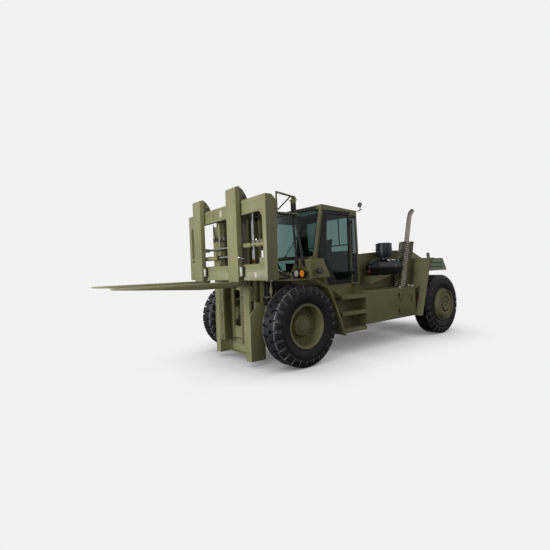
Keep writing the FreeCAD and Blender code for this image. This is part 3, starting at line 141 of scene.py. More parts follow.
def addSpun(bm, profile, centre, axis, steps=48, material=0):
    # profile is (distance along the axis, radius)
    part = bmesh.new()
    verts = [part.verts.new((radius, 0, along)) for along, radius in profile]
    edges = [part.edges.new(pair) for pair in zip(verts, verts[1:])]
    bmesh.ops.spin(part, geom=verts + edges, cent=(0, 0, 0), axis=(0, 0, 1), angle=2 * math.pi, steps=steps,
                   use_merge=True)
    bmesh.ops.remove_doubles(part, verts=part.verts[:], dist=1e-5)
    bmesh.ops.recalc_face_normals(part, faces=part.faces[:])
    join(bm, part, material, Matrix.Translation(Vector(centre)) @ turnTo(axis))


flatAxes = {"x": lambda a, b, c: (c, a, b), "y": lambda a, b, c: (a, c, b), "z": lambda a, b, c: (a, b, c)}


def addPlate(bm, outline, axis, low, high, bevel=0.0, material=0, holes=()):
    # outline holds the two coordinates that are left when the axis is taken away
    place = flatAxes[axis]
    part = bmesh.new()
    edges = []
    for loop in [outline, *holes]:
        verts = [part.verts.new(place(a, b, low)) for a, b in loop]
        edges += [part.edges.new(pair) for pair in zip(verts, verts[1:] + verts[:1])]
    bmesh.ops.triangle_fill(part, edges=edges, use_beauty=True, use_dissolve=False)
    bmesh.ops.dissolve_limit(part, angle_limit=0.01, verts=part.verts[:], edges=part.edges[:])
    grown = bmesh.ops.extrude_face_region(part, geom=part.faces[:], use_keep_orig=True)["geom"]
    bmesh.ops.translate(part, vec=Vector(place(0, 0, high)) - Vector(place(0, 0, low)),
                        verts=[g for g in grown if isinstance(g, bmesh.types.BMVert)])
    bmesh.ops.recalc_face_normals(part, faces=part.faces[:])
    if bevel:
        roundEdges(part, bevel)
    join(bm, part, material)


def addRing(bm, outer, inner, axis, low, high, bevel=0.0, material=0):
    # flat frame between two loops with equally many points
    place = flatAxes[axis]
    part = bmesh.new()
    rings = [[part.verts.new(place(a, b, level)) for a, b in loop]
             for loop, level in ((outer, low), (outer, high), (inner, high), (inner, low))]
    for ring, after in zip(rings, rings[1:] + rings[:1]):
        for k in range(len(ring)):
            part.faces.new((ring[k - 1], ring[k], after[k], after[k - 1]))
    bmesh.ops.recalc_face_normals(part, faces=part.faces[:])
    if bevel:
        roundEdges(part, bevel)
    join(bm, part, material)


def splineMesh(points, radius=0.0, sides=12, smooth=12):
    curve = bpy.data.curves.new("line", "CURVE")
    curve.dimensions = "3D"
    curve.resolution_u = smooth
    curve.bevel_depth, curve.bevel_resolution, curve.use_fill_caps = radius, max(0, sides // 4 - 1), True
    spline = curve.splines.new("NURBS")
    spline.points.add(len(points) - 1)
    for point, place in zip(spline.points, points):
        point.co = (*place, 1.0)
    spline.order_u = 3
    spline.use_endpoint_u = True
    holder = bpy.data.objects.new("line", curve)
    mesh = bpy.data.meshes.new_from_object(holder)
    bpy.data.objects.remove(holder)
    bpy.data.curves.remove(curve)
    return mesh


def addTube(bm, points, radius, sides=12, material=0, smooth=8):
    mesh = splineMesh(points, radius, sides, smooth)
    part = bmesh.new()
    part.from_mesh(mesh)
    bpy.data.meshes.remove(mesh)
    join(bm, part, material)


def addMirror(bm):
    made = bmesh.ops.duplicate(bm, geom=bm.verts[:] + bm.edges[:] + bm.faces[:])["geom"]
    verts = [g for g in made if isinstance(g, bmesh.types.BMVert)]
    faces = [g for g in made if isinstance(g, bmesh.types.BMFace)]
    bmesh.ops.scale(bm, vec=(1, -1, 1), verts=verts)
    bmesh.ops.reverse_faces(bm, faces=faces)


def addBolt(bm, foot, way, size, material=0):
    foot, way = Vector(foot), Vector(way).normalized()
    addRod(bm, foot, foot + way * size * 0.35, size * 1.5, 12, material=material)
    addRod(bm, foot, foot + way * size * 1.1, size, 6, material=material)


def asPiece(name, bm, body, materials, replaced=(), angle=35):
    bmesh.ops.translate(bm, vec=(axleX, 0, 0), verts=bm.verts[:])
    mesh = bpy.data.meshes.new(name)
    bm.to_mesh(mesh)
    bm.free()
    mesh.polygons.foreach_set("use_smooth", [True] * len(mesh.polygons))
    mesh.set_sharp_from_angle(angle=math.radians(angle))
    piece = bpy.data.objects.new(name, mesh)
    bpy.context.scene.collection.objects.link(piece)
    for material in materials if isinstance(materials, (list, tuple)) else [materials]:
        mesh.materials.append(material)
    if body:
        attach(piece, body)
    if replaced:
        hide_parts(*replaced)
    return piece


cameraView = {"place": (5.5905, 6.108, 1.791), "yaw": -2.2168, "pitch": -0.0171, "roll": -0.0363,
              "lens": 23.39, "sensor": 36.0}


def makeCamera(v):
    look = Vector((math.cos(v["pitch"]) * math.cos(v["yaw"]), math.cos(v["pitch"]) * math.sin(v["yaw"]),
                   math.sin(v["pitch"])))
    right = look.cross(Vector((0, 0, 1))).normalized()
    up = right.cross(look)
    sideways = right * math.cos(v["roll"]) + up * math.sin(v["roll"])
    upwards = up * math.cos(v["roll"]) - right * math.sin(v["roll"])
    data = bpy.data.cameras.new("camera")
    data.lens, data.sensor_width, data.sensor_fit = v["lens"], v["sensor"], "HORIZONTAL"
    data.clip_end = 200
    camera = bpy.data.objects.new("camera", data)
    turned = Matrix((sideways, upwards, -look)).transposed().to_4x4()
    camera.matrix_world = Matrix.Translation(Vector(v["place"])) @ turned
    bpy.context.scene.collection.objects.link(camera)
    bpy.context.scene.camera = camera


makeCamera(cameraView)
print("camera placed")


def plainFinish(name, colors, roughness, metallic=0.0, patchMm=120, grainMm=3, bumpHeight=0.0005,
                strength=0.2, extra=None):
    material, tree, coords = startMaterial(name)
    patches = addNode(tree, "TexNoise", {"Scale": 1000 / patchMm, "Detail": 5.0, "Roughness": 0.6},
                      {"Vector": coords}).outputs["Fac"]
    tone = addNode(tree, "ValToRGB", {"stops": [(0.32, linear(colors[0])), (0.68, linear(colors[1]))]},
                   {"Fac": patches}).outputs["Color"]
    grain = addNode(tree, "TexNoise", {"Scale": 1000 / grainMm, "Detail": 3.0},
                    {"Vector": coords}).outputs["Fac"]
    bump = addNode(tree, "Bump", {"Strength": strength, "Distance": bumpHeight}, {"Height": grain})
    rough = addNode(tree, "MapRange", {1: 0.3, 2: 0.7, 3: roughness * 0.85, 4: min(1, roughness * 1.2)},
                    {0: patches}).outputs[0]
    values = {"Metallic": metallic}
    values.update(extra or {})
    shader = addNode(tree, "BsdfPrincipled", values,
                     {"Base Color": tone, "Roughness": rough, "Normal": bump.outputs[0]})
    addNode(tree, "OutputMaterial", links={"Surface": shader.outputs[0]})
    return material


def wrappedHose(name):
    # rubber cover with the print of the cloth that it was cured in, wound round the hose about 11 mm apart
    material, tree, coords = startMaterial(name)
    wrap = addNode(tree, "TexWave", {"bands_direction": "Z", "Scale": 28.0, "Distortion": 1.2},
                   {"Vector": coords}).outputs["Fac"]
    dust = addNode(tree, "TexNoise", {"Scale": 30.0, "Detail": 5.0}, {"Vector": coords}).outputs["Fac"]
    tone = addNode(tree, "ValToRGB", {"stops": [(0.35, linear("#101115")), (0.75, linear("#26282d"))]},
                   {"Fac": dust}).outputs["Color"]
    bump = addNode(tree, "Bump", {"Strength": 0.4, "Distance": 0.0015}, {"Height": wrap}).outputs[0]
    shader = addNode(tree, "BsdfPrincipled", {"Roughness": 0.42},
                     {"Base Color": tone, "Normal": bump})
    addNode(tree, "OutputMaterial", links={"Surface": shader.outputs[0]})
    return material


hoseRubber = wrappedHose("wrappedHoseRubber")
sleeveRubber = plainFinish("heatShrunkSleeve", ("#0e0f12", "#17181c"), 0.45)
zincPlate = plainFinish("yellowZincFitting", ("#8d8a80", "#b9b6aa"), 0.3, metallic=0.9, bumpHeight=0.0002)

# the routes of the two guide hoses, as the frame's tubes have them, with each one's length
hoseRoutes = {
    "guide_hose_near": ([(-0.270, 0.791, 3.110), (-0.270, 0.791, 2.888), (-0.2968, 0.8319, 2.480),
                         (-0.348, 0.884, 2.072), (-0.348, 0.884, 1.852)], 1.267),
    "guide_hose_far": ([(-0.270, 0.729, 3.110), (-0.270, 0.729, 2.888), (-0.2998, 0.7202, 2.480),
                        (-0.348, 0.709, 2.072), (-0.348, 0.709, 1.852)], 1.262)}
hoseValues = {"diameter": 0.048, "ferrule": 0.125, "ferruleRadius": 0.031}


def makeHose(node, points):
    v = hoseValues
    line = splineMesh(points)
    bpy.data.meshes.remove(line)
    bm = bmesh.new()
    addTube(bm, points, v["diameter"] / 2, 24, smooth=16)
    hose = asPiece(node + "_cover", bm, None, hoseRubber, [node], 60)
    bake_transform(hose)
    ends = ((points[0], points[1], "outer_mast"), (points[-1], points[-2], "chassis"))
    for end, after, body in ends:
        way = (Vector(after) - Vector(end)).normalized()
        bm = bmesh.new()
        grip = Vector(end) + way * (0.060 if body == "outer_mast" else 0.0)
        addSpun(bm, [(0.0, 0.024), (0.0, v["ferruleRadius"]), (v["ferrule"] * 0.3, v["ferruleRadius"]),
                     (v["ferrule"] * 0.34, 0.0265), (v["ferrule"] * 0.42, v["ferruleRadius"]),
                     (v["ferrule"] * 0.9, v["ferruleRadius"]), (v["ferrule"], 0.0245)], grip, way, 32)
        asPiece(node + "_sleeve_" + body, bm, body, sleeveRubber)


for node, (points, length) in hoseRoutes.items():
    makeHose(node, points)
print("hoses routed")

paintValues = {"base": "#807e59", "dark": "#747250", "pale": "#8c8966", "dust": "#8f8870",
               "roughness": 0.44, "patchMm": 900, "grainMm": 6}


def sprayedPaint(name, v):
    # two-part polyurethane paint sprayed on steel: low sheen, faint orange peel, dust low down, paler sharp
    # edges that are partly worn paint and partly a painted edge highlight
    material, tree, coords = startMaterial(name)
    patches = addNode(tree, "TexNoise", {"Scale": 1000 / v["patchMm"], "Detail": 4.0, "Roughness": 0.55},
                      {"Vector": coords}).outputs["Fac"]
    tone = addNode(tree, "ValToRGB", {"stops": [(0.3, linear(v["dark"])), (0.5, linear(v["base"])),
                                                (0.72, linear(v["pale"]))]},
                   {"Fac": patches}).outputs["Color"]
    height = addNode(tree, "SeparateXYZ", links={0: coords}).outputs["Z"]
    low = addNode(tree, "MapRange", {1: 0.1, 2: 1.1, 3: 0.30, 4: 0.0}, {0: height}).outputs[0]
    grime = addNode(tree, "TexNoise", {"Scale": 9.0, "Detail": 6.0, "Roughness": 0.65},
                    {"Vector": coords}).outputs["Fac"]
    dusty = addNode(tree, "Math", {"operation": "MULTIPLY"}, {0: low, 1: grime}).outputs[0]
    color = addNode(tree, "Mix", {"data_type": "RGBA", 7: linear(v["dust"])},
                    {0: dusty, 6: tone}).outputs[2]
    # sharp edges turn paler: partly worn paint, partly a painted highlight along the edges
    edge = addNode(tree, "NewGeometry").outputs["Pointiness"]
    wornAndHighlitEdges = addNode(tree, "MapRange", {1: 0.53, 2: 0.60, 3: 0.0, 4: 0.45}, {0: edge}).outputs[0]
    color = addNode(tree, "Mix", {"data_type": "RGBA", 7: linear(v["pale"])},
                    {0: wornAndHighlitEdges, 6: color}).outputs[2]
    grain = addNode(tree, "TexNoise", {"Scale": 1000 / v["grainMm"], "Detail": 2.0},
                    {"Vector": coords}).outputs["Fac"]
    bump = addNode(tree, "Bump", {"Strength": 0.12, "Distance": 0.001}, {"Height": grain}).outputs[0]
    rough = addNode(tree, "MapRange", {1: 0.3, 2: 0.7, 3: v["roughness"] - 0.06, 4: v["roughness"] + 0.1},
                    {0: grime}).outputs[0]
    shader = addNode(tree, "BsdfPrincipled", {"IOR": 1.5, "Specular IOR Level": 0.4},
                     {"Base Color": color, "Roughness": rough, "Normal": bump})
    addNode(tree, "OutputMaterial", links={"Surface": shader.outputs[0]})
    return material


def tintedGlass(name, tint):
    # float glass with a green body tint: see-through, with a mirror gloss that grows towards grazing view
    material, tree, coords = startMaterial(name)
    smear = addNode(tree, "TexNoise", {"Scale": 4.0, "Detail": 3.0}, {"Vector": coords}).outputs["Fac"]
    rough = addNode(tree, "MapRange", {1: 0.4, 2: 0.8, 3: 0.01, 4: 0.06}, {0: smear}).outputs[0]
    gloss = addNode(tree, "BsdfAnisotropic", {"Color": linear("#dfe8e6")}, {"Roughness": rough})
    clear = addNode(tree, "BsdfTransparent", {"Color": linear(tint)})
    front = addNode(tree, "Math", {"operation": "SUBTRACT", 0: 1.0},
                    {1: addNode(tree, "NewGeometry").outputs["Backfacing"]}).outputs[0]
    mirror = addNode(tree, "Fresnel", {"IOR": 1.45}).outputs[0]
    mirror = addNode(tree, "Math", {"operation": "MULTIPLY"}, {0: mirror, 1: front}).outputs[0]
    mixed = addNode(tree, "MixShader", links={0: mirror, 1: clear.outputs[0], 2: gloss.outputs[0]})
    addNode(tree, "OutputMaterial", links={"Surface": mixed.outputs[0]})
    return material


def lampGlassWithPaintedGlow(name, color, glow):
    # moulded polycarbonate lens with flutes about 10 mm apart; its emission is a painted glow that stands in
    # for the shine of the reflector behind it
    material, tree, coords = startMaterial(name)
    ribs = addNode(tree, "TexWave", {"bands_direction": "Y", "Scale": 30.0, "Distortion": 0.0},
                   {"Vector": coords}).outputs["Fac"]
    bump = addNode(tree, "Bump", {"Strength": 0.3, "Distance": 0.002}, {"Height": ribs}).outputs[0]
    # the emission is painted glow, not a lit lamp
    shader = addNode(tree, "BsdfPrincipled",
                     {"Base Color": linear(color), "Roughness": 0.12, "Emission Color": linear(color),
                      "Emission Strength": glow}, {"Normal": bump})
    addNode(tree, "OutputMaterial", links={"Surface": shader.outputs[0]})
    return material


def tyreRubber(name, low, middle, high):
    # carbon-black rubber, hot moulded: satin walls; the pale version on the tread's groove sides and lug
    # edges is a painted highlight
    material, tree, coords = startMaterial(name)
    patches = addNode(tree, "TexNoise", {"Scale": 7.0, "Detail": 6.0, "Roughness": 0.6},
                      {"Vector": coords}).outputs["Fac"]
    tone = addNode(tree, "ValToRGB", {"stops": [(0.35, linear(low)), (0.6, linear(middle)),
                                                (0.8, linear(high))]}, {"Fac": patches}).outputs["Color"]
    grain = addNode(tree, "TexNoise", {"Scale": 220.0, "Detail": 3.0}, {"Vector": coords}).outputs["Fac"]
    bump = addNode(tree, "Bump", {"Strength": 0.35, "Distance": 0.001}, {"Height": grain}).outputs[0]
    rough = addNode(tree, "MapRange", {1: 0.3, 2: 0.8, 3: 0.46, 4: 0.75}, {0: patches}).outputs[0]
    shader = addNode(tree, "BsdfPrincipled", {"IOR": 1.5},
                     {"Base Color": tone, "Roughness": rough, "Normal": bump})
    addNode(tree, "OutputMaterial", links={"Surface": shader.outputs[0]})
    return material


def perforatedSheet(name, v):
    # painted sheet with rows of punched holes: the holes are coloured, with painted shade in them, and a
    # painted highlight of the pipe where the pipe stands behind them
    material, tree, coords = startMaterial(name)
    scaled = addNode(tree, "VectorMath", {"operation": "SCALE", "Scale": 1 / v["pitch"]},
                     {0: coords}).outputs[0]
    cell = addNode(tree, "VectorMath", {"operation": "FRACTION"}, {0: scaled}).outputs[0]
    parts = addNode(tree, "SeparateXYZ", links={0: cell})
    flat = addNode(tree, "CombineXYZ", links={0: parts.outputs[0], 1: parts.outputs[2]}).outputs[0]
    away = addNode(tree, "VectorMath", {"operation": "DISTANCE", 1: (0.5, 0.5, 0.0)},
                   {0: flat}).outputs["Value"]
    hole = addNode(tree, "Math", {"operation": "LESS_THAN", 1: v["share"]}, {0: away}).outputs[0]
    # holes within this band along the pipe get its painted highlight, the rest painted shade
    along = addNode(tree, "VectorMath", {"operation": "DOT_PRODUCT", 1: (1.0, 0.0, v["lean"])},
                    {0: coords}).outputs["Value"]
    shift = addNode(tree, "Math", {"operation": "ADD", 1: v["foot"] - axleX}, {0: along}).outputs[0]
    shift = addNode(tree, "Math", {"operation": "ABSOLUTE"}, {0: shift}).outputs[0]
    paintedHighlightBand = addNode(tree, "Math", {"operation": "LESS_THAN", 1: v["band"]}, {0: shift}).outputs[0]
    behind = addNode(tree, "Mix", {"data_type": "RGBA", 6: linear(v["dark"]), 7: linear(v["bright"])},
                     {0: paintedHighlightBand}).outputs[2]
    color = addNode(tree, "Mix", {"data_type": "RGBA", 6: linear(v["paint"])},
                    {0: hole, 7: behind}).outputs[2]
    shader = addNode(tree, "BsdfPrincipled", {"Roughness": 0.5}, {"Base Color": color})
    addNode(tree, "OutputMaterial", links={"Surface": shader.outputs[0]})
    return material


# dark is painted shade in the holes, bright the painted highlight of the pipe behind them
sheetValues = {"pitch": 0.050, "share": 0.33, "lean": 0.235, "foot": 3.117, "band": 0.050, "paint": "#6b6a49",
               "dark": "#2c2d1e", "bright": "#d9cdc5"}

olivePaint = sprayedPaint("olivePolyurethanePaint", paintValues)
greyGreenPaint = plainFinish("greyGreenPrimer", ("#7b8874", "#8a9682"), 0.6, patchMm=500)
chromePlate = plainFinish("chromePlatedRod", ("#b4b7bb", "#cfd2d5"), 0.14, metallic=1.0, bumpHeight=0.0001)
pipeSteel = plainFinish("heatStainedStainlessPipe", ("#8d8580", "#b3aba5"), 0.24, metallic=1.0, patchMm=160,
                        strength=0.3)
blackPlastic = plainFinish("mouldedNylonBlack", ("#0b0c0f", "#131418"), 0.34, grainMm=2)
drumPlastic = plainFinish("mouldedPolyamideGrey", ("#25262c", "#35373e"), 0.30, patchMm=90, grainMm=3)
# also the plates behind the mast, as painted shade
blackPaintAndShade = plainFinish("blackPowderCoatAndShadeSheet", ("#060807", "#0b0e0d"), 0.5)
darkLining = plainFinish("pressedTrimDark", ("#24352b", "#34493c"), 0.8, grainMm=5)
greasedSteel = plainFinish("greasedRailSteel", ("#2a261f", "#5b5344"), 0.38, metallic=0.7, patchMm=60)
seatVinyl = plainFinish("blackSeatVinyl", ("#17181a", "#222325"), 0.6, grainMm=4, strength=0.4)
cabGlass = tintedGlass("greenFloatGlass", "#dbe5e3")
screenGlass = tintedGlass("shadedScreenGlass", "#aebfbd")
# opaque pane coloured like the sky it mirrors: painted reflection
paintedReflectionGlass = plainFinish("quarterGlassPaintedReflection", ("#6f8485", "#86999a"), 0.12, patchMm=700)
clearLens = lampGlassWithPaintedGlow("clearPolycarbonate", "#d2d2ce", 0.06)
amberLens = lampGlassWithPaintedGlow("amberPolycarbonate", "#f08a1c", 0.25)
blueLens = lampGlassWithPaintedGlow("blueGreyLampGlass", "#595f70", 0.04)
redPlastic = plainFinish("redRubberValve", ("#6d1a16", "#8a231d"), 0.5)
bluePlastic = plainFinish("blueNylonCap", ("#2f6fae", "#3b80c2"), 0.4)
rubber = tyreRubber("mouldedTyreRubber", "#0b0c10", "#121319", "#1f1f23")
# pale rubber for the groove sides and lug edges: painted highlight
lugHighlightRubber = tyreRubber("paintedLugHighlightRubber", "#55565c", "#83817d", "#9b9182")
# also the dark block of the rear rim's hand hole, as painted shade
ironAndHoleShade = plainFinish("bareWeatheredIronAndHoleShade", ("#3a3529", "#57523f"), 0.6, metallic=0.4, patchMm=80)
brownBolt = plainFinish("oxidisedBolt", ("#6a4a33", "#8a5f3f"), 0.55, metallic=0.3, patchMm=40)
bronze = plainFinish("turnedBronzeGland", ("#8a5a2c", "#a8733c"), 0.3, metallic=0.9)
paleVinyl = plainFinish("blankVinylPlate", ("#b9a79c", "#c9b9ae"), 0.5)
capSteel = plainFinish("whitePassivatedCap", ("#c3bfb4", "#dad7cd"), 0.35)
nylon = plainFinish("castNylonRoller", ("#b9b9b2", "#d0d0c9"), 0.4)
paleEdge = plainFinish("scuffedStepEdge", ("#86835f", "#a3a07f"), 0.5, patchMm=30)
railGrease = plainFinish("greasedRailFace", ("#57523b", "#8b856c"), 0.35, metallic=0.3, patchMm=70)
holedSheet = perforatedSheet("perforatedShieldSheetPaintedShadeAndHighlight", sheetValues)
print("finishes made")

finishOfSlot = {"olive_paint": olivePaint, "tyre_rubber": rubber, "chrome": chromePlate,
                "black_plastic": blackPlastic, "black_paint": blackPaintAndShade, "tinted_glass": cabGlass,
                "clear_glass": clearLens, "seat_fabric": seatVinyl, "greased_steel": greasedSteel,
                "grey_green_paint": greyGreenPaint, "hose_rubber": hoseRubber}
finishOfNode = {"exhaust_pipe": pipeSteel, "heat_shield": holedSheet, "cab_glass": screenGlass}

for part in frame["record"]["subparts"]:
    node = frame["nodes"][part["node"]]
    node.data.materials.clear()
    node.data.materials.append(finishOfNode.get(part["node"], finishOfSlot[part["material_slot"]]))
print("frame pieces finished")

studio = {"bounce": "#5a5a56", "back": "#f2f2f2", "reach": 1.7, "dark": 0.14, "horizon": 0.62,
          "zenith": 0.24, "gloss": 1.25, "front": {"place": (7.0, 0.9, 2.5), "aim": (0.9, 0.0, 1.6),
                                                   "wide": 4.5, "tall": 3.0, "power": 415.0},
          "tail": {"place": (-10.0, -4.0, 3.6), "aim": (-3.0, 0.0, 1.4), "wide": 5.0, "tall": 4.0,
                   "power": 420.0}}


def makeFloor(v):
    bm = bmesh.new()
    bmesh.ops.create_grid(bm, x_segments=1, y_segments=1, size=90)
    mesh = bpy.data.meshes.new("floor")
    bm.to_mesh(mesh)
    bm.free()
    floor = bpy.data.objects.new("floor", mesh)
    bpy.context.scene.collection.objects.link(floor)
    material, tree, coords = startMaterial("studioPaper")
    # the sheet looks evenly lit, and darkens softly where the truck shuts out the light
    seen = addNode(tree, "LightPath").outputs["Is Camera Ray"]
    opened = addNode(tree, "AmbientOcclusion", {"Distance": v["reach"], "samples": 16}).outputs["AO"]
    level = addNode(tree, "MapRange", {1: 0.08, 2: 0.90, 3: v["dark"], 4: 1.0}, {0: opened}).outputs[0]
    paper = addNode(tree, "Emission", {"Color": linear(v["back"])}, {"Strength": level})
    matt = addNode(tree, "BsdfDiffuse", {"Color": linear(v["bounce"])})
    mixed = addNode(tree, "MixShader", links={0: seen, 1: matt.outputs[0], 2: paper.outputs[0]})
    addNode(tree, "OutputMaterial", links={"Surface": mixed.outputs[0]})
    mesh.materials.append(material)


def makeWorld(v):
    world = bpy.data.worlds.new("studio")
    world.use_nodes = True
    tree = world.node_tree
    tree.nodes.clear()
    rays = addNode(tree, "LightPath")
    seen = addNode(tree, "Math", {"operation": "MAXIMUM"},
                   {0: rays.outputs["Is Camera Ray"], 1: rays.outputs["Is Transmission Ray"]}).outputs[0]
    way = addNode(tree, "TexCoord").outputs["Generated"]
    height = addNode(tree, "SeparateXYZ", links={0: way}).outputs["Z"]
    sky = addNode(tree, "MapRange", {1: 0.25, 2: 0.95, 3: v["horizon"], 4: v["zenith"]},
                  {0: height}).outputs[0]
    bright = addNode(tree, "MapRange", {1: 0.0, 2: 1.0, 3: 1.0, 4: v["gloss"]},
                     {0: rays.outputs["Is Glossy Ray"]}).outputs[0]
    sky = addNode(tree, "Math", {"operation": "MULTIPLY"}, {0: sky, 1: bright}).outputs[0]
    power = addNode(tree, "Mix", {"data_type": "FLOAT", 3: 1.0}, {0: seen, 2: sky}).outputs[0]
    glow = addNode(tree, "Background", {"Color": linear(v["back"])}, {"Strength": power})
    addNode(tree, "OutputWorld", links={"Surface": glow.outputs[0]})
    bpy.context.scene.world = world


def addLamp(name, v):
    # softbox; the one in front stands close, so that its light falls off towards the tail
    data = bpy.data.lights.new(name, "AREA")
    data.shape, data.size, data.size_y = "RECTANGLE", v["wide"], v["tall"]
    data.energy = v["power"]
    lamp = bpy.data.objects.new(name, data)
    lamp.matrix_world = turnTo(Vector(v["place"]) - Vector(v["aim"]))
    lamp.matrix_world.translation = Vector(v["place"]) + Vector((axleX, 0, 0))
    bpy.context.scene.collection.objects.link(lamp)


makeFloor(studio)
makeWorld(studio)
addLamp("frontSoftbox", studio["front"])
addLamp("tailSoftbox", studio["tail"])
bpy.context.scene.view_settings.view_transform = "Standard"
print("studio set")


def bodyOf(node):
    return next(body for body, nodes in frame["record"]["behaviour"]["bodies"].items() if node in nodes)


# width in millimetres of the rounded edge on each welded or cast piece
softEdges = {"outer_mast": 5, "inner_mast": 4, "carriage": 5, "fork_left": 6, "fork_right": 6, "cab_shell": 5,
             "cowl": 5, "engine_hood": 5, "hood_lid": 4, "counterweight": 10, "side_tanks": 4,
             "compartment_door": 3, "arch_plates": 4, "boarding_steps": 2, "mudguards": 3, "chassis_frame": 4,
             "positioner_barrels": 3, "tilt_barrels": 4, "lift_barrels": 3, "door_frame_left": 5,
             "door_frame_right": 5, "hose_guide": 2, "sheaves": 3, "drive_axle": 8, "steer_axle": 6,
             "knuckle_left": 5, "knuckle_right": 5, "rear_louvres": 3, "cleaner_bracket": 2}


def soften(node, width):
    bm = bmesh.new()
    bm.from_mesh(frame["nodes"][node].data)
    bmesh.ops.remove_doubles(bm, verts=bm.verts[:], dist=2e-5)
    bmesh.ops.dissolve_limit(bm, angle_limit=math.radians(0.6), verts=bm.verts[:], edges=bm.edges[:])
    bmesh.ops.translate(bm, vec=(-axleX, 0, 0), verts=bm.verts[:])
    piece = asPiece(node + "_plates", bm, bodyOf(node), frame["nodes"][node].data.materials[0], [node])
    piece.data.attributes.remove(piece.data.attributes["sharp_edge"])
    edge = piece.modifiers.new("edge", "BEVEL")
    edge.width, edge.segments, edge.limit_method = width / 1000, 2, "ANGLE"
    edge.angle_limit, edge.use_clamp_overlap, edge.harden_normals = math.radians(28), False, True


for node, width in softEdges.items():
    soften(node, width)
print("plates softened")

tyreValues = {"radius": 0.745, "halfWidth": 0.215, "bore": 0.370, "lugs": 26, "lugDepth": 0.050,
              "lugShare": 0.845, "wallSteps": 104}
wheels = {"front_left": (1, "wheel_front_left"), "front_right": (-1, "wheel_front_right"),
          "rear_left": (1, "wheel_rear_left"), "rear_right": (-1, "wheel_rear_right")}


def wheelCentre(name):
    low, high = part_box("tyre_" + name)
    return Vector(((low[0] + high[0]) / 2 - axleX, (low[1] + high[1]) / 2, tyreValues["radius"]))


def makeTyre(name, body):
    v = tyreValues
    radius, half, bore = v["radius"], v["halfWidth"], v["bore"]
    floor = radius - v["lugDepth"]
    wall = [(half - 0.043, bore), (half - 0.040, bore + 0.004), (half - 0.035, bore + 0.037),
            (half - 0.026, bore + 0.052), (half - 0.030, bore + 0.060), (half - 0.020, bore + 0.078),
            (half - 0.012, bore + 0.110), (half - 0.005, bore + 0.150), (half - 0.001, bore + 0.180),
            (half - 0.003, bore + 0.198), (half - 0.008, bore + 0.201), (half - 0.009, bore + 0.207),
            (half - 0.004, bore + 0.211), (half - 0.006, bore + 0.232), (half - 0.014, floor - 0.058),
            (half - 0.024, floor - 0.028), (half - 0.040, floor - 0.012), (half - 0.084, floor - 0.004),
            (0.05, floor)]
    outline = wall + [(-y, r) for y, r in reversed(wall)] + [wall[0]]
    bm = bmesh.new()
    addSpun(bm, outline, (0, 0, 0), (0, 1, 0), v["wallSteps"])
    pitch = 2 * math.pi / v["lugs"]
    thick = v["lugShare"] * pitch * radius
    for side in (1, -1):
        part = bmesh.new()
        block = [(-0.020, floor - 0.02), (-0.020, radius), (half - 0.062, radius),
                 (half - 0.024, radius - 0.030), (half - 0.004, floor - 0.050),
                 (half - 0.002, floor - 0.095), (half - 0.05, floor - 0.100)]
        verts = [part.verts.new((-thick / 2, side * y, r)) for y, r in block]
        grown = bmesh.ops.extrude_face_region(part, geom=[part.faces.new(verts)], use_keep_orig=True)["geom"]
        far = [g for g in grown if isinstance(g, bmesh.types.BMVert)]
        bmesh.ops.translate(part, vec=(thick, 0, 0), verts=far)
        inner = [p for p in part.verts if abs(p.co.y) < 0.1]
        bmesh.ops.scale(part, vec=(0.80, 1, 1), verts=inner)
        bmesh.ops.translate(part, vec=(0.034, 0, 0), verts=inner)
        low = [p for p in part.verts if p.co.z < floor - 0.09]
        bmesh.ops.scale(part, vec=(0.82, 1, 1), verts=low)
        middle = [p for p in part.verts if abs(p.co.z - (floor - 0.050)) < 0.001]
        bmesh.ops.scale(part, vec=(0.92, 1, 1), verts=middle)
        bmesh.ops.recalc_face_normals(part, faces=part.faces[:])
        made = bmesh.ops.bevel(part, geom=part.edges[:], offset=0.009, offset_type="OFFSET", affect="EDGES",
                               segments=2, profile=0.5, material=-1)
        for face in made["faces"]:
            middle = face.calc_center_median()
            out = abs(middle.y)
            # groove sides and lug crown edges take the pale rubber: painted highlight
            grooveSide = abs(face.normal.x) > 0.20 and out > half - 0.105 and middle.z > floor - 0.092
            crownEdge = abs(out - (half - 0.062)) < 0.008 and middle.z > radius - 0.012
            if grooveSide or crownEdge:
                face.material_index = 1
        for vert in part.verts:
            reach = math.hypot(vert.co.x, vert.co.z)
            if reach > radius:
                vert.co.x, vert.co.z = vert.co.x * radius / reach, vert.co.z * radius / reach
        bmesh.ops.rotate(part, cent=(0, 0, 0), matrix=Matrix.Rotation(0 if side == 1 else pitch / 2, 3, "Y"),
                         verts=part.verts[:])
        bmesh.ops.spin(part, geom=part.verts[:] + part.edges[:] + part.faces[:], cent=(0, 0, 0),
                       axis=(0, 1, 0), angle=2 * math.pi - pitch, steps=v["lugs"] - 1, use_duplicate=True)
        join(bm, part, None)
    bmesh.ops.translate(bm, vec=wheelCentre(name), verts=bm.verts[:])
    asPiece("tyre_tread_" + name, bm, body, [rubber, lugHighlightRubber], ["tyre_" + name], 38)


rimValues = {"seat": 0.369, "lip": 0.405, "lipIn": 0.1812, "lipOut": 0.193, "wall": 0.014, "nuts": 20}


def nutRing(bm, centre, side, along, ringRadius, count, size, height, material=0):
    for k in range(count):
        angle = 2 * math.pi * k / count
        foot = centre + Vector((ringRadius * math.cos(angle), side * along, ringRadius * math.sin(angle)))
        addRod(bm, foot, foot + Vector((0, side * height * 0.4, 0)), size * 1.35, 12, material=material)
        addRod(bm, foot, foot + Vector((0, side * height, 0)), size, 6, material=material)
        addRod(bm, foot, foot + Vector((0, side * height * 1.5, 0)), size * 0.45, 8, material=material)


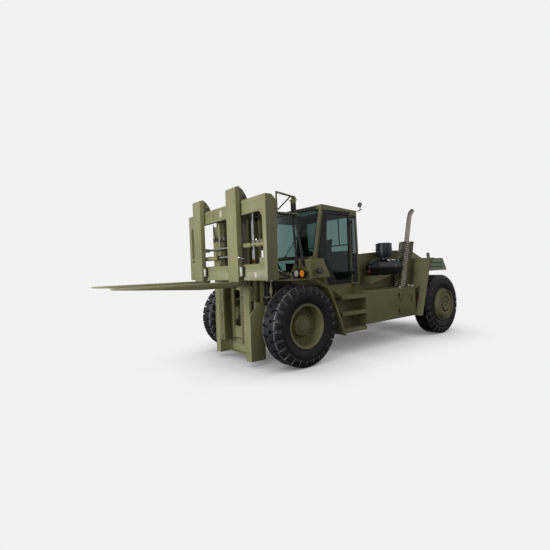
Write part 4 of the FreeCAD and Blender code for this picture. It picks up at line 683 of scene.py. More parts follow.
def makeRim(name, side, body, front):
    v = rimValues
    centre = wheelCentre(name)
    inside = v["seat"] - v["wall"]
    lip = [(-v["lipOut"], inside), (-v["lipOut"], v["lip"] - 0.004), (-v["lipOut"] + 0.004, v["lip"]),
           (-v["lipIn"], v["lip"] - 0.003), (-v["lipIn"], v["seat"]), (v["lipIn"], v["seat"]),
           (v["lipIn"], v["lip"] - 0.003), (v["lipOut"] - 0.004, v["lip"]), (v["lipOut"], v["lip"] - 0.004)]
    if front:
        face = [(v["lipOut"] - 0.002, inside + 0.018), (v["lipOut"] - 0.014, inside + 0.004),
                (0.150, inside), (0.100, inside - 0.004), (0.060, inside - 0.014), (0.010, inside - 0.022),
                (-0.030, inside - 0.036), (-0.042, inside - 0.052), (-0.042, 0.206), (-0.038, 0.200),
                (0.030, 0.200), (0.044, 0.194), (0.064, 0.176), (0.070, 0.164), (0.070, 0.132),
                (0.078, 0.126), (0.090, 0.112), (0.092, 0.100), (0.092, 0.060), (0.088, 0.054),
                (0.088, 0.001), (0.0, 0.001), (0.0, 0.12), (-0.070, 0.19), (-0.070, inside),
                (-0.10, inside)]
    else:
        face = [(v["lipOut"] - 0.002, inside + 0.020), (v["lipOut"] + 0.004, inside + 0.014),
                (0.258, 0.350), (0.263, 0.356), (0.283, 0.356), (0.285, 0.352), (0.285, 0.338),
                (0.281, 0.334), (0.240, 0.324), (0.237, 0.320), (0.237, 0.300), (0.240, 0.296),
                (0.263, 0.292), (0.267, 0.288), (0.267, 0.210), (0.264, 0.205), (0.250, 0.197),
                (0.247, 0.192), (0.247, 0.164), (0.250, 0.160), (0.275, 0.150), (0.279, 0.145),
                (0.279, 0.100), (0.276, 0.095), (0.257, 0.086), (0.255, 0.080), (0.255, 0.044),
                (0.258, 0.040), (0.269, 0.030), (0.269, 0.001), (0.060, 0.001), (0.060, 0.13),
                (0.150, 0.150), (0.219, 0.190), (0.219, 0.312), (v["lipIn"], inside)]
    bm = bmesh.new()
    addSpun(bm, [(side * y, r) for y, r in lip + face + lip[:1]], centre, (0, 1, 0), 96)
    if front:
        nutRing(bm, centre, side, -0.042, 0.236, v["nuts"], 0.015, 0.028)
        nutRing(bm, centre, side, -0.040, 0.292, v["nuts"], 0.013, 0.024)
        nutRing(bm, centre, side, 0.068, 0.150, 20, 0.007, 0.010)
        for angle in (0.6, 3.74):
            foot = centre + Vector((0.072 * math.cos(angle), side * 0.091, 0.072 * math.sin(angle)))
            addBolt(bm, foot, (0, side, 0), 0.010, 2)
    else:
        nutRing(bm, centre, side, 0.247, 0.178, 12, 0.011, 0.020, 1)
        # dark block on the disc for the valve hand hole: painted shade in place of the opening
        low = centre + Vector((0.246, side * 0.228, -0.246))
        addBox(bm, low - Vector((0.026, 0.030, 0.020)), low + Vector((0.026, 0.012, 0.020)), 0.004, 1)
    asPiece("rim_disc_" + name, bm, body, [olivePaint, ironAndHoleShade, zincPlate], ["rim_" + name],
            30)


for name, (side, body) in wheels.items():
    makeTyre(name, body)
    makeRim(name, side, body, name.startswith("front"))
print("wheels made")


def slopeX(z):
    # front face of the cab
    return -1.040 + (z - 1.400) * 0.320 / 0.600 if z < 2.0 else -0.720 - (z - 2.0) * 0.230 / 1.085


def backX(z):
    return -2.050 + 0.055 * (z - 1.400) / 1.616


def screenX(y, z):
    # front of the bowed windscreen
    return slopeX(z) - 0.030 + 0.150 * (1 - (y / 0.780) ** 2)


cabValues = {"half": 0.860, "glassLow": 2.020, "glassHigh": 2.995, "sealRadius": 0.017, "doorLow": 1.425,
             "doorHigh": 2.965, "doorRear": -1.790, "doorMargin": 0.075}


def doorLoop(front, knee, top, rear, low, high):
    # the door's outline moved inwards by a distance of its own at each corner
    v = cabValues
    return [(slopeX(v["doorLow"]) - v["doorMargin"] - front, v["doorLow"] + low),
            (-0.720 - v["doorMargin"] - knee, 2.0),
            (slopeX(v["doorHigh"]) - v["doorMargin"] - top, v["doorHigh"] - high),
            (v["doorRear"] + rear, v["doorHigh"] - high), (v["doorRear"] + rear, v["doorLow"] + low)]


def makeScreenSeal(v):
    bm = bmesh.new()
    ys = [-0.78 + 1.56 * k / 8 for k in range(9)]
    for z in (v["glassLow"], v["glassHigh"]):
        addTube(bm, [(screenX(y, z) - 0.004, y, z) for y in ys], v["sealRadius"], 12)
    for y in (-0.78, 0.78):
        addRod(bm, (slopeX(v["glassLow"]) - 0.022, y, v["glassLow"]),
               (slopeX(v["glassHigh"]) - 0.022, y, v["glassHigh"]), 0.024, 12)
    low = [(-0.440, 1.722), (0.440, 1.722), (0.625, 1.978), (-0.625, 1.978)]
    for (y0, z0), (y1, z1) in zip(low, low[1:] + low[:1]):
        addRod(bm, (slopeX(z0) - 0.004, y0, z0), (slopeX(z1) - 0.004, y1, z1), 0.014, 10)
    brow = [(screenX(y, 3.03) + 0.004, y) for y in ys]
    addPlate(bm, brow + [(slopeX(3.03) - 0.05, 0.78), (slopeX(3.03) - 0.05, -0.78)], "z", 3.016, 3.060, 0.008)
    asPiece("windscreen_seal", bm, "chassis", blackPaintAndShade)


wiperValues = {"pivot": (0.05, 2.045), "tip": (0.40, 2.52), "blade": (0.16, 0.20), "lift": 0.026}


def makeWiper(v):
    def on(y, z):
        return (screenX(y, z) + v["lift"], y, z)
    bm = bmesh.new()
    (y0, z0), (y1, z1) = v["pivot"], v["tip"]
    addRod(bm, (screenX(y0, z0) - 0.01, y0, z0), on(y0, z0), 0.018, 16)
    addRod(bm, on(y0, z0), on(y1, z1), 0.007, 8)
    dy, dz = v["blade"]
    addRod(bm, on(y1 - dy, z1 - dz), on(y1 + dy * 0.6, z1 + dz), 0.008, 8)
    asPiece("windscreen_wiper", bm, "chassis", blackPlastic)


def makePillars():
    # rolled edge on the front of each post, with the sealed seam behind it
    bm = bmesh.new()
    turns = [(slopeX(1.42), 1.42), (slopeX(2.0), 2.0), (slopeX(3.07), 3.07)]
    for (x0, z0), (x1, z1) in zip(turns, turns[1:]):
        addRod(bm, (x0 + 0.002, 0.852, z0), (x1 + 0.002, 0.852, z1), 0.013, 12, material=0)
        addRod(bm, (x0 - 0.046, 0.861, z0), (x1 - 0.046, 0.861, z1), 0.004, 8, material=1)
    addRod(bm, (backX(1.42) - 0.002, 0.856, 1.42), (backX(3.0) - 0.002, 0.856, 3.0), 0.010, 12, material=0)
    addRod(bm, (slopeX(3.07), 0.852, 3.070), (backX(3.0), 0.852, 3.004), 0.012, 12, material=0)
    addMirror(bm)
    asPiece("cab_post_edges", bm, "chassis", [olivePaint, blackPaintAndShade])


def makeQuarterPanels(v):
    bm = bmesh.new()
    hole = [(-1.840, 2.060), (-1.850, 2.850), (backX(2.85) + 0.053, 2.850), (backX(2.06) + 0.053, 2.060)]
    panel = [(-1.818, 1.440), (-1.818, 2.905), (backX(2.905) + 0.034, 2.905), (backX(1.44) + 0.034, 1.440)]
    lip = 0.012
    rim = [(x + (lip if x < -1.9 else -lip), z + (lip if z < 2.5 else -lip)) for x, z in hole]
    addPlate(bm, panel, "y", v["half"] + 0.0005, v["half"] + 0.0035, holes=[hole])
    addRing(bm, hole, rim, "y", v["half"] - 0.016, v["half"] + 0.006, 0.002, 1)
    # the pane in the hole is opaque, with a painted reflection
    addPlate(bm, hole, "y", v["half"] - 0.004, v["half"] + 0.001, material=2)
    button = [(0.0, 0.001), (0.0, 0.026), (0.010, 0.024), (0.012, 0.001)]
    addSpun(bm, button, (-1.890, 0.8635, 1.945), (0, 1, 0), 20, 1)
    addMirror(bm)
    asPiece("quarter_panels", bm, "chassis", [blackPaintAndShade, blackPlastic, paintedReflectionGlass])


def makeDoorTrim(name, side):
    bm = bmesh.new()
    glassEdge = doorLoop(*[0.056] * 6)
    band = doorLoop(0.225, 0.255, 0.105, 0.080, 0.080, 0.085)
    addRing(bm, glassEdge, band, "y", 0.8442, 0.8454, material=0)
    addRing(bm, doorLoop(*[0.050] * 6), doorLoop(*[0.062] * 6), "y", 0.8440, 0.8640, 0.003, 1)
    addSpun(bm, [(0.0, 0.001), (0.0, 0.058), (0.006, 0.058), (0.010, 0.052), (0.010, 0.040), (0.004, 0.036),
                 (0.004, 0.030), (0.008, 0.026), (0.008, 0.001)], (-0.965, 0.846, 1.945), (0, 1, 0), 32, 2)
    addBox(bm, (-1.775, 0.864, 1.560), (-1.735, 0.884, 1.680), 0.006, 1)
    addRod(bm, (-1.755, 0.890, 1.575), (-1.755, 0.890, 1.665), 0.011, 12, material=1)
    for z in (1.590, 1.650):
        addRod(bm, (-1.755, 0.880, z), (-1.755, 0.892, z), 0.007, 8, material=1)
    if side < 0:
        bmesh.ops.scale(bm, vec=(1, -1, 1), verts=bm.verts[:])
        bmesh.ops.reverse_faces(bm, faces=bm.faces[:])
    asPiece("door_trim_" + name, bm, "door_" + name, [blackPaintAndShade, blackPlastic, drumPlastic])


barValues = {"half": 0.700, "z": 2.285, "y": 0.350, "top": 2.900, "radius": 0.014, "inset": 0.030}


def makeRearBars(v):
    # black frame of the sliding pane in the rear window
    def on(y, z):
        return (backX(z) + v["inset"], y, z)
    bm = bmesh.new()
    addRod(bm, on(-v["half"], v["z"]), on(v["half"], v["z"]), v["radius"], 10)
    for y in (-v["y"], v["y"]):
        addRod(bm, on(y, v["z"]), on(y, v["top"]), v["radius"], 10)
    asPiece("rear_window_bars", bm, "chassis", blackPaintAndShade)


liningValues = {"floor": 1.447, "half": 0.812, "hatchHalf": 0.430, "consoleTop": 1.900, "matThick": 0.006,
                "leverXs": (-1.330, -1.400, -1.470), "leverY": -0.480, "leverHigh": 0.130}


def makeLining(v):
    # pressed trim inside the cab: mat, rear wall, roof, and the console with its levers at the driver's right
    half, floor = v["half"], v["floor"]
    bm = bmesh.new()
    matTop, matRear = floor + v["matThick"], backX(floor) + 0.048
    mat = [(slopeX(floor) - 0.052, floor), (matRear, floor), (matRear, matTop),
           (slopeX(floor) - 0.049, matTop)]
    rearWall = [(backX(1.46) + 0.047, 1.46), (backX(2.14) + 0.047, 2.14), (backX(2.14) + 0.055, 2.14),
                (backX(1.46) + 0.055, 1.46)]
    roof = [(-1.090, 3.022), (-1.940, 2.960), (-1.940, 2.952), (-1.090, 3.014)]
    addPlate(bm, mat, "y", -half, half)
    addPlate(bm, rearWall, "y", -half, half)
    for low, high in ((-half, -v["hatchHalf"]), (v["hatchHalf"], half)):
        addPlate(bm, roof, "y", low, high)
    addBox(bm, (-1.900, -half + 0.03, matTop), (-1.250, -0.380, v["consoleTop"]), 0.030, segments=3)
    addBox(bm, (-1.780, 0.310, 1.700), (-1.380, 0.400, 1.800), 0.025, segments=3)
    knob = [(0.0, 0.006), (0.006, 0.018), (0.020, 0.023), (0.036, 0.018), (0.042, 0.001)]
    for x in v["leverXs"]:
        head = (x + 0.02, v["leverY"], v["consoleTop"] + v["leverHigh"])
        addRod(bm, (x, v["leverY"], v["consoleTop"]), head, 0.008, 10, material=1)
        addSpun(bm, knob, (head[0], head[1], head[2] - 0.005), (0, 0, 1), 16, 1)
    addSpun(bm, [(0.0, 0.150), (0.030, 0.150), (0.040, 0.120), (0.040, 0.001)], (-1.085, 0.0, 1.880),
            (-0.6, 0, 0.8), 32, 1)
    for y in (-0.32, 0.34):
        addBox(bm, (-1.150, y, 1.62), (-1.110, y + 0.16, 1.86), 0.012, 1)
    asPiece("cab_lining", bm, "chassis", [darkLining, blackPlastic])


seatValues = {"rear": -1.840, "low": 1.640, "cushionTop": 1.760, "half": 0.250, "backBottom": 1.790,
              "backTop": 2.450, "voxel": 0.010, "pressure": 4.0, "frames": 20, "cap": 0.014, "fill": 0.8}


def padShape(low, high, tilt, name):
    # box with crowned faces, later swollen by the cloth's pressure
    bm = bmesh.new()
    low, high = Vector(low), Vector(high)
    bmesh.ops.create_cube(bm, size=1, matrix=Matrix.Translation((low + high) / 2)
                          @ Matrix.Diagonal((*(high - low), 1)))
    roundEdges(bm, min(high - low) * 0.28, 3)
    for vert in bm.verts:
        vert.co.x -= (vert.co.z - low.z) * tilt
    return asPiece(name, bm, "chassis", seatVinyl, angle=60)


def swell(piece, v):
    # air pressure rounds the foam; no point moves further than the cap
    remesh = piece.modifiers.new("remesh", "REMESH")
    remesh.mode, remesh.voxel_size = "VOXEL", v["voxel"]
    depsgraph = bpy.context.evaluated_depsgraph_get()
    piece.data = bpy.data.meshes.new_from_object(piece.evaluated_get(depsgraph))
    piece.modifiers.clear()
    start = [vertex.co.copy() for vertex in piece.data.vertices]
    cloth = piece.modifiers.new("cloth", "CLOTH")
    cloth.settings.use_pressure = True
    cloth.settings.uniform_pressure_force = v["pressure"]
    cloth.settings.effector_weights.gravity = 0.0
    for number in range(1, v["frames"] + 1):
        bpy.context.scene.frame_set(number)
    depsgraph = bpy.context.evaluated_depsgraph_get()
    swollen = bpy.data.meshes.new_from_object(piece.evaluated_get(depsgraph))
    piece.modifiers.clear()
    piece.data = swollen
    bpy.context.scene.frame_set(1)
    for vertex, place in zip(swollen.vertices, start):
        step = vertex.co - place
        vertex.co = place + step * min(1.0, v["cap"] / max(step.length, 1e-6))
    finer = piece.modifiers.new("finer", "SUBSURF")
    finer.levels = finer.render_levels = 1
    depsgraph = bpy.context.evaluated_depsgraph_get()
    piece.data = bpy.data.meshes.new_from_object(piece.evaluated_get(depsgraph))
    piece.modifiers.clear()
    for polygon in piece.data.polygons:
        polygon.use_smooth = True


def makeSeat(v):
    rear, half = v["rear"], v["half"]
    bm = bmesh.new()
    addBox(bm, (rear + 0.02, -0.21, 1.447), (rear + 0.38, 0.21, 1.600), 0.012)
    for k in range(5):
        z = 1.470 + k * 0.026
        addBox(bm, (rear + 0.01, -0.22, z), (rear + 0.39, 0.22, z + 0.014), 0.006)
    addBox(bm, (rear + 0.01, -0.23, 1.602), (rear + 0.46, 0.23, 1.640), 0.010)
    asPiece("seat_base", bm, "chassis", blackPlastic, ["seat"])
    parts = (("seat_cushion", (rear + 0.03, -half + 0.01, v["low"] + 0.008),
              (rear + 0.49, half - 0.01, v["cushionTop"]), 0.0),
             ("seat_back", (rear + 0.005, -half + 0.02, v["backBottom"]),
              (rear + 0.090, half - 0.02, v["backTop"]), 0.12))
    for name, low, high, tilt in parts:
        piece = padShape(low, high, tilt, name)
        swell(piece, v)


makeScreenSeal(cabValues)
makeWiper(wiperValues)
makePillars()
makeQuarterPanels(cabValues)
makeDoorTrim("left", 1)
makeDoorTrim("right", -1)
makeRearBars(barValues)
makeLining(liningValues)
makeSeat(seatValues)
print("cab dressed")

lampValues = {"ys": (0.776, 0.942), "z": 1.684, "radius": 0.082, "back": -0.338, "face": -0.267}


def addLampHead(bm, centre, way, radius, depth, lens):
    # housing, bezel and domed lens; the centre is the middle of the rim
    back = -depth
    addSpun(bm, [(back, 0.001), (back, radius * 0.45), (back * 0.75, radius * 0.80),
                 (back * 0.30, radius * 0.98), (-0.002, radius), (0.004, radius * 0.96),
                 (0.004, radius * 0.84), (-0.004, radius * 0.80)], centre, way, 32, 0)
    addSpun(bm, [(-0.008, radius * 0.82), (-0.004, radius * 0.79), (0.001, radius * 0.70),
                 (0.003, radius * 0.40), (0.004, 0.001)], centre, way, 32, lens)


def makeLamps(v):
    bm = bmesh.new()
    for y, lens in zip(v["ys"], (1, 2)):
        addLampHead(bm, (v["face"] - 0.004, y, v["z"]), (1, 0, 0), v["radius"], 0.070, lens)
        addBox(bm, (-0.400, y - 0.020, v["z"] - 0.020), (v["back"] + 0.012, y + 0.020, v["z"] + 0.020),
               0.003, 0)
    addBox(bm, (-0.400, 0.704, 1.640), (-0.394, 0.985, 1.724), 0.003, 4)
    addBox(bm, (v["face"] - 0.060, v["ys"][0], v["z"] - 0.078),
           (v["face"] - 0.008, v["ys"][1], v["z"] + 0.078), 0.004, 0)
    addLampHead(bm, (-0.548, 1.166, 1.722), (0, 1, 0), 0.062, 0.072, 3)
    addRod(bm, (-0.560, 1.060, 1.640), (-0.560, 1.075, 1.640), 0.010, 12, material=4)
    addBox(bm, (-0.585, 1.060, 1.630), (-0.535, 1.066, 1.740), 0.002, 4)
    addMirror(bm)
    foot = -1.955
    addBox(bm, (foot - 0.025, 0.860, 2.946), (foot + 0.025, 0.868, 3.002), 0.002, 4)
    addRod(bm, (foot, 0.876, 2.986), (foot - 0.165, 0.935, 3.041), 0.009, 12, material=4)
    addRod(bm, (foot - 0.118, 0.918, 3.024), (foot - 0.116, 0.928, 3.100), 0.011, 12, material=0)
    addLampHead(bm, (foot - 0.092, 0.930, 3.140), (1, 0, 0), 0.054, 0.048, 3)
    asPiece("work_lamps", bm, "chassis", [blackPlastic, clearLens, amberLens, blueLens, olivePaint],
            ["lamps"])


makeLamps(lampValues)

cleanerValues = {"front": -2.250, "y": 0.930, "z": 1.745, "neckX": -2.870, "neckZ": 1.920, "clips": 8,
                 "vanes": 24, "steps": 48}


def makeAirCleaner(v):
    # moulded canister with its drum pre-cleaner, vacuator valve and clamp bands
    y, z = v["y"], v["z"]
    canister = [(0.0, 0.001), (0.0, 0.050), (0.004, 0.058), (0.080, 0.058), (0.085, 0.090),
                (0.190, 0.172), (0.200, 0.177), (0.268, 0.177), (0.272, 0.182), (0.294, 0.182),
                (0.298, 0.177), (0.800, 0.177), (0.804, 0.186), (0.826, 0.186), (0.830, 0.177),
                (0.990, 0.177), (1.000, 0.168), (1.000, 0.142), (1.010, 0.139), (1.130, 0.139),
                (1.140, 0.130), (1.140, 0.050), (1.134, 0.046), (1.134, 0.001)]
    drum = [(0.0, 0.084), (0.062, 0.084), (0.065, 0.170), (0.070, 0.182), (0.078, 0.185), (0.222, 0.185),
            (0.226, 0.191), (0.252, 0.191), (0.256, 0.185), (0.368, 0.185), (0.380, 0.181), (0.385, 0.170),
            (0.385, 0.060), (0.381, 0.056), (0.381, 0.001)]
    valve = [(0.0, 0.001), (0.0, 0.020), (0.040, 0.034), (0.065, 0.030), (0.085, 0.012), (0.085, 0.001)]
    bm = bmesh.new()
    addSpun(bm, canister, (v["front"], y, z), (-1, 0, 0), v["steps"], 0)
    for k in range(v["clips"]):
        angle = 2 * math.pi * k / v["clips"]
        foot = Vector((v["front"] - 1.005, y + 0.158 * math.cos(angle), z + 0.158 * math.sin(angle)))
        addBox(bm, foot - Vector((0.030, 0.010, 0.010)), foot + Vector((0.010, 0.010, 0.010)), 0.003, 2)
    addSpun(bm, drum, (v["neckX"], y, v["neckZ"]), (0, 0, 1), v["steps"], 1)
    for k in range(v["vanes"]):
        angle = 2 * math.pi * k / v["vanes"]
        foot = Vector((v["neckX"] + 0.150 * math.cos(angle), y + 0.150 * math.sin(angle), v["neckZ"] + 0.063))
        addBox(bm, foot - Vector((0.006, 0.006, 0.012)), foot + Vector((0.006, 0.006, 0.004)), 0.0, 0)
    addSpun(bm, valve, (-2.295, y + 0.010, z - 0.050), (0, 0, -1), 20, 3)
    addRod(bm, (-3.300, y + 0.080, z + 0.105), (-3.300, y + 0.108, z + 0.155), 0.024, 20, 0.020, 4, 0.004)
    for x in (-2.292, -2.533, -3.066):
        radius = 0.058 if x > -2.3 else 0.186
        for angle in (0.25, 0.75):
            out = Vector((0, math.cos(angle), math.sin(angle)))
            addBolt(bm, Vector((x, y, z)) + out * (radius - 0.004), out, 0.008, 2)
    finishes = [blackPlastic, drumPlastic, zincPlate, redPlastic, bluePlastic]
    asPiece("air_cleaner_shell", bm, "chassis", finishes, ["air_cleaner"], 40)


makeAirCleaner(cleanerValues)

skinValues = {"foot": -3.5234, "low": 1.264, "high": 2.348, "lean": 0.235, "y": 0.950, "thick": 0.003,
              "line": ((0.180, 0.073), (0.128, 0.112), (0.050, 0.134), (-0.050, 0.138), (-0.140, 0.118),
                       (-0.198, 0.073))}


def makeShieldSkin(v):
    # perforated front of the shield round the stack's lower length
    bm = bmesh.new()
    rise = v["high"] - v["low"]
    rings = []
    for inset in (0.0, v["thick"]):
        for z in (0.0, rise):
            rings.append([bm.verts.new((v["foot"] + x - z * v["lean"], v["y"] + y - inset, v["low"] + z))
                          for x, y in v["line"]])
    count = len(v["line"])
    for k in range(count - 1):
        bm.faces.new((rings[0][k], rings[0][k + 1], rings[1][k + 1], rings[1][k]))
        bm.faces.new((rings[2][k + 1], rings[2][k], rings[3][k], rings[3][k + 1]))
        bm.faces.new((rings[1][k], rings[1][k + 1], rings[3][k + 1], rings[3][k]))
        bm.faces.new((rings[0][k + 1], rings[0][k], rings[2][k], rings[2][k + 1]))
    for k in (0, count - 1):
        bm.faces.new((rings[0][k], rings[1][k], rings[3][k], rings[2][k]))
    bmesh.ops.recalc_face_normals(bm, faces=bm.faces[:])
    asPiece("shield_skin", bm, "chassis", holedSheet, angle=50)


makeShieldSkin(skinValues)
print("lamps and air cleaner made")

forkValues = {"left": 0.589, "right": -0.828, "half": 0.173, "rollerX": 0.986, "rollerZ": (1.705, 1.835),
              "rollerRadius": 0.024, "rollerOut": 0.032, "hookX": 0.850, "hookZ": 3.084}


def makeForkTrim(name, v):
    # side roller in its bracket, and the pin between the hooks
    y = v[name]
    edge = y + v["half"]
    low, high = v["rollerZ"]
    x, out = v["rollerX"], edge + v["rollerOut"]
    pinX, pinZ = v["hookX"], v["hookZ"]
    bm = bmesh.new()
    addBox(bm, (0.948, edge, low - 0.034), (1.020, edge + 0.010, high + 0.022), 0.003, 0)
    for z in (low - 0.030, high + 0.006):
        addBox(bm, (0.950, edge, z), (1.016, edge + 0.054, z + 0.012), 0.003, 0)
    addRod(bm, (x, out, low - 0.016), (x, out, high + 0.006), v["rollerRadius"], 24, material=1, bevel=0.005)
    addBolt(bm, (x, out, low - 0.030), (0, 0, -1), 0.012, 2)
    for side in (1, -1):
        addRod(bm, (pinX, y + side * 0.150, pinZ), (pinX, y + side * 0.160, pinZ), 0.030, 24, material=2)
    bush = [(-0.062, 0.034), (-0.062, 0.045), (-0.050, 0.050), (0.050, 0.050), (0.062, 0.045), (0.062, 0.034)]
    addSpun(bm, bush, (pinX, y, pinZ), (0, 1, 0), 32, 3)
    if name == "left":
        addRod(bm, (1.030, edge + 0.006, 2.020), (0.950, edge + 0.078, 1.978), 0.015, 16, material=4,
               bevel=0.004)
    asPiece("fork_trim_" + name, bm, "fork_" + name, [olivePaint, nylon, ironAndHoleShade, brownBolt, chromePlate])


for name in ("left", "right"):
    makeForkTrim(name, forkValues)

carriageValues = {"front": 0.920, "half": 1.479, "stripLow": 2.945, "stripHigh": 2.996, "teeth": 42,
                  "rackHalf": 1.280,
                  "plates": ((0.0, 2.885, 0.080, 0.120), (0.388, 1.745, 0.036, 0.110),
                             (1.130, 1.700, 0.060, 0.090))}


def makeCarriageTrim(v):
    # wear strip and notched rack along the upper beam, corner plates, blank plates and weld beads
    front, half = v["front"], v["half"]
    bm = bmesh.new()
    addBox(bm, (front - 0.001, -half + 0.06, v["stripLow"]), (front + 0.006, half - 0.06, v["stripHigh"]),
           0.002, 0)
    for k in range(v["teeth"]):
        y = v["rackHalf"] * (2 * k / (v["teeth"] - 1) - 1)
        addBox(bm, (front - 0.040, y - 0.018, 2.743), (front - 0.004, y + 0.018, 2.760), 0.003, 1)
    for side in (1, -1):
        low, high = sorted((side * 1.255, side * 1.372))
        addBox(bm, (0.846, low, 1.875), (0.916, high, 1.985), 0.004, 0)
        for z in (1.881, 2.758):
            low, high = sorted((side * 0.320, side * 1.360))
            addRod(bm, (0.922, low, z), (0.922, high, z), 0.004, 8, material=0)
    for y, z, wide, tall in v["plates"]:
        addBox(bm, (front - 0.001, y - wide / 2, z - tall / 2), (front + 0.0015, y + wide / 2, z + tall / 2),
               0.0, 2)
    for y in (-0.300, 0.300):
        for z in (2.820, 2.880):
            addBolt(bm, (front, y, z), (1, 0, 0), 0.011, 1)
    asPiece("carriage_trim", bm, "carriage", [olivePaint, ironAndHoleShade, paleVinyl])


positionerValues = {"x": 0.880, "barrel": 0.042, "upper": 2.215, "lower": 2.045, "inner": 0.210,
                    "ports": (0.110, 1.080), "clamps": (0.420, 0.800)}


def makePositionerTrim(v):
    # gland nut, end cap, ports and clamped steel lines of both positioner cylinders
    bm = bmesh.new()
    around = v["barrel"] + 0.0005
    for z, side in ((v["upper"], 1), (v["lower"], -1)):
        inner = Vector((v["x"], side * v["inner"], z))
        addSpun(bm, [(0.0, 0.0235), (0.0, 0.040), (0.003, 0.047), (0.034, 0.047), (0.038, 0.0425)], inner,
                (0, side, 0), 32, 0)
        for along in v["ports"]:
            port = inner + Vector((0, side * along, v["barrel"] - 0.004))
            addRod(bm, port, port + Vector((0, 0, 0.022)), 0.016, 16, material=0)
            addRod(bm, port + Vector((0, 0, 0.018)), port + Vector((0, 0, 0.040)), 0.012, 6, material=1)
            addRod(bm, port + Vector((0, 0, 0.034)), port + Vector((-0.030, 0, 0.046)), 0.009, 10, material=1)
        for along in v["clamps"]:
            clamp = inner + Vector((0, side * along, 0))
            band = [(-0.012, around), (-0.012, 0.048), (0.012, 0.048), (0.012, around)]
            addSpun(bm, band, clamp, (0, 1, 0), 32, 1)
    for y, high in ((1.020, 0.060), (1.130, 0.085)):
        addRod(bm, (0.884, y, 2.250), (0.890, y + 0.020, 2.225 + high), 0.012, 12, material=3, bevel=0.003)
        band = [(-0.018, around), (-0.018, 0.0445), (0.018, 0.0445), (0.018, around)]
        addSpun(bm, band, (v["x"], y, v["upper"]), (0, 1, 0), 32, 3)
    addRod(bm, (0.880, 1.090, 2.268), (0.884, 1.290, 2.272), 0.011, 12, material=3, bevel=0.003)
    x, z = v["x"] - 0.030, v["upper"] + 0.080
    for shift in (0.0, 0.030):
        line = [(x, 0.320, z - 0.020), (x - 0.02, 0.320 - shift, z + 0.040),
                (x - 0.04, 0.180, z + 0.100 + shift), (x - 0.05, -0.100, z + 0.110 + shift),
                (x - 0.05, -0.360, z + 0.060 + shift), (x - 0.05, -0.520, z + 0.180 + shift),
                (x - 0.05, -0.540, 2.740)]
        addTube(bm, line, 0.010, 8, 2)
    for y in (-0.100, -0.530):
        addBox(bm, (x - 0.070, y - 0.020, z + 0.085), (x - 0.030, y + 0.020, z + 0.165), 0.004, 1)
    asPiece("positioner_fittings", bm, "carriage", [olivePaint, zincPlate, hoseRubber, chromePlate])


makeCarriageTrim(carriageValues)
makePositionerTrim(positionerValues)
print("carriage dressed")

mastValues = {"flangeY": 0.645, "liftX": 0.602, "liftY": 0.592, "liftTop": 1.950, "shelf": 1.262,
              "capShelf": 1.560, "tankX": 0.330, "tankOut": 0.105}


def makeMastTrim(v):
    y = v["flangeY"]
    shelf, cap = v["shelf"], v["capShelf"]
    tankX, tankY = v["tankX"], y + v["tankOut"]
    bm = bmesh.new()
    slot = [(0.690, 1.300), (0.712, 1.300), (0.712, 1.400), (0.690, 1.400)]
    latch = [(0.664, 1.225), (0.740, 1.225), (0.740, 1.480), (0.664, 1.480)]
    addPlate(bm, latch, "y", y, y + 0.012, 0.002, 0, [slot])
    for z in (1.262, 1.442):
        addBolt(bm, (0.725, y + 0.011, z), (0, 1, 0), 0.010, 1)
    addBox(bm, (0.300, y - 0.005, shelf), (0.425, y + 0.150, shelf + 0.014), 0.003, 0)
    addRod(bm, (0.380, y + 0.045, shelf + 0.014), (0.380, y + 0.045, cap), 0.011, 12, material=2)
    addRod(bm, (tankX, tankY, shelf + 0.014), (tankX, tankY, cap + 0.015), 0.012, 12, material=0)
    bulb = [(0.0, 0.012), (0.010, 0.024), (0.035, 0.032), (0.080, 0.034), (0.130, 0.026), (0.170, 0.013)]
    addSpun(bm, bulb, (tankX, tankY, 1.310), (0, 0, 1), 24, 0)
    addBox(bm, (0.305, y - 0.005, cap), (0.425, y + 0.150, cap + 0.014), 0.003, 0)
    addBox(bm, (0.440, y, 1.270), (0.446, y + 0.020, 1.570), 0.002, 0)
    gland = [(0.0, 0.050), (0.0, 0.0525), (0.012, 0.0545), (0.040, 0.0545), (0.046, 0.046), (0.056, 0.044),
             (0.060, 0.0375)]
    addSpun(bm, gland, (v["liftX"], v["liftY"], v["liftTop"] - 0.030), (0, 0, 1), 32, 3)
    for z in (0.300, 1.150, 1.500):
        addRod(bm, (0.718, 0.5415, z), (0.718, 0.5415, z + 0.45), 0.0045, 8, material=0)
    addMirror(bm)
    asPiece("mast_trim", bm, "outer_mast", [olivePaint, brownBolt, blackPlastic, bronze])
    bm = bmesh.new()
    addBox(bm, (0.7575, 0.352, 0.400), (0.7595, 0.432, 2.940), 0.0, 0)
    addBox(bm, (0.7575, 0.440, 0.400), (0.7600, 0.448, 2.940), 0.0, 1)
    addMirror(bm)
    asPiece("rail_faces", bm, "inner_mast", [railGrease, brownBolt])


makeMastTrim(mastValues)

shadeSheetValues = {"x": 0.120, "rearX": -0.250, "inner": 0.020, "outer": 0.480, "low": 1.060, "rearLow": 1.400,
                "high": 1.600, "thick": 0.006}


def makeShadeSheets(v):
    # black plates behind the mast, standing where only shade shows through the gaps: painted shade
    bm = bmesh.new()
    for x, low, outer in ((v["x"], v["low"], v["outer"]), (v["rearX"], v["rearLow"], v["outer"] - 0.020)):
        front = x + v["thick"]
        addPlate(bm, [(x, low), (front, low), (front, v["high"]), (x, v["high"])], "y", v["inner"], outer)
    for z in (v["low"] + 0.060, v["high"] - 0.060):
        addBolt(bm, (v["x"] + v["thick"], v["outer"] - 0.060, z), (1, 0, 0), 0.012, 1)
    addMirror(bm)
    asPiece("painted_shade_plates", bm, "chassis", [blackPaintAndShade, ironAndHoleShade])


makeShadeSheets(shadeSheetValues)

trayValues = {"x": 0.352, "inner": 0.300, "outer": 0.600, "low": 2.150, "high": 2.905}


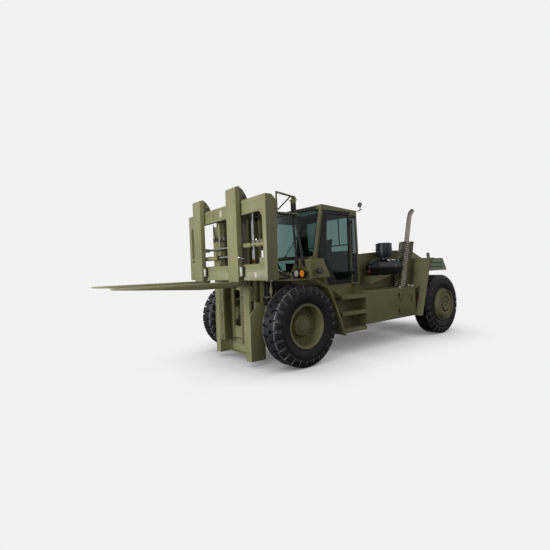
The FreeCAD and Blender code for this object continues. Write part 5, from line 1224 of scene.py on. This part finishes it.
def makeHoseTray(v):
    # black channel behind the mast, left side, for the lines that go up to the carriage
    bm = bmesh.new()
    x, inner, outer = v["x"], v["inner"], v["outer"]
    shape = [(x, inner), (x, outer), (x + 0.045, outer), (x + 0.045, outer - 0.005),
             (x + 0.005, outer - 0.005), (x + 0.005, inner + 0.005), (x + 0.045, inner + 0.005),
             (x + 0.045, inner)]
    addPlate(bm, shape, "z", v["low"], v["high"])
    for y in (0.350, 0.400, 0.450):
        addRod(bm, (x + 0.022, y, v["low"] - 0.120), (x + 0.022, y, v["high"] - 0.030), 0.013, 12, material=1)
    for z in (v["low"] + 0.100, v["high"] - 0.120):
        addBox(bm, (x + 0.036, inner + 0.004, z), (x + 0.046, outer - 0.004, z + 0.030), 0.002, 2)
    asPiece("hose_tray", bm, "outer_mast", [blackPaintAndShade, hoseRubber, zincPlate])


makeHoseTray(trayValues)

stepValues = {"tops": (0.525, 0.865, 1.195), "front": -1.032, "rear": -1.753, "inner": 0.880, "outer": 1.267,
              "teeth": 15}


def makeStepGrips(v):
    # serrated upturned edges and round grip holes on each tread
    bm = bmesh.new()
    pitch = (v["rear"] - v["front"]) / v["teeth"]
    for top in v["tops"]:
        for k in range(v["teeth"]):
            x = v["front"] + pitch * (k + 0.5)
            addBox(bm, (x + pitch * 0.28, v["outer"] - 0.016, top - 0.012),
                   (x - pitch * 0.28, v["outer"] + 0.002, top + 0.012), 0.0, 0)
        for row in range(3):
            for k in range(13):
                x = v["front"] + (v["rear"] - v["front"]) * (k + 0.5 + 0.25 * (row % 2)) / 13.5
                y = v["inner"] + 0.080 + row * 0.110
                addSpun(bm, [(0.0, 0.014), (0.004, 0.012), (0.004, 0.007), (0.0005, 0.005)], (x, y, top),
                        (0, 0, 1), 12)
    addMirror(bm)
    asPiece("step_grips", bm, "chassis", paleEdge)


makeStepGrips(stepValues)

tankValues = {"outer": 1.267, "top": 1.249, "rear": -3.600,
              "caps": ((-3.026, 1.232), (-3.590, 1.100), (-3.540, 1.225))}


def makeTankTrim(v):
    # filler caps, battery switch with its red handle, and the bracket over the switch
    outer, top = v["outer"], v["top"]
    bm = bmesh.new()
    for x, y in v["caps"]:
        addSpun(bm, [(0.0, 0.001), (0.0, 0.032), (0.010, 0.034), (0.012, 0.030), (0.040, 0.028),
                     (0.046, 0.022), (0.046, 0.001)], (x, y, top), (0, 0, 1), 24, 2)
    addPlate(bm, [(v["rear"] + 0.001, 1.196), (v["rear"] + 0.001, top), (-3.815, top), (-3.797, 1.196)], "y",
             1.060, outer, 0.003, 0)
    addPlate(bm, [(-3.603, 0.740), (-3.640, 0.740), (-3.752, 1.100), (-3.603, 1.100)], "y", outer - 0.012,
             outer - 0.006, 0.0, 1)
    addBox(bm, (-3.715, outer - 0.008, 0.915), (-3.672, outer + 0.016, 0.985), 0.008, 3)
    asPiece("tank_trim", bm, "chassis", [olivePaint, blackPlastic, capSteel, redPlastic])


makeTankTrim(tankValues)


def makeDoorLatch(v):
    # flush latch near the free edge of the compartment door
    bm = bmesh.new()
    addBox(bm, (-3.446, v["outer"], 0.890), (-3.394, v["outer"] + 0.004, 0.985), 0.0, 1)
    addBox(bm, (-3.452, v["outer"], 0.884), (-3.388, v["outer"] + 0.003, 0.991), 0.0, 0)
    addRod(bm, (-3.420, v["outer"] + 0.006, 0.905), (-3.420, v["outer"] + 0.006, 0.970), 0.005, 10,
           material=0)
    asPiece("compartment_latch", bm, "compartment_door", [olivePaint, blackPlastic])


makeDoorLatch(tankValues)
print("mast, steps and tank dressed")
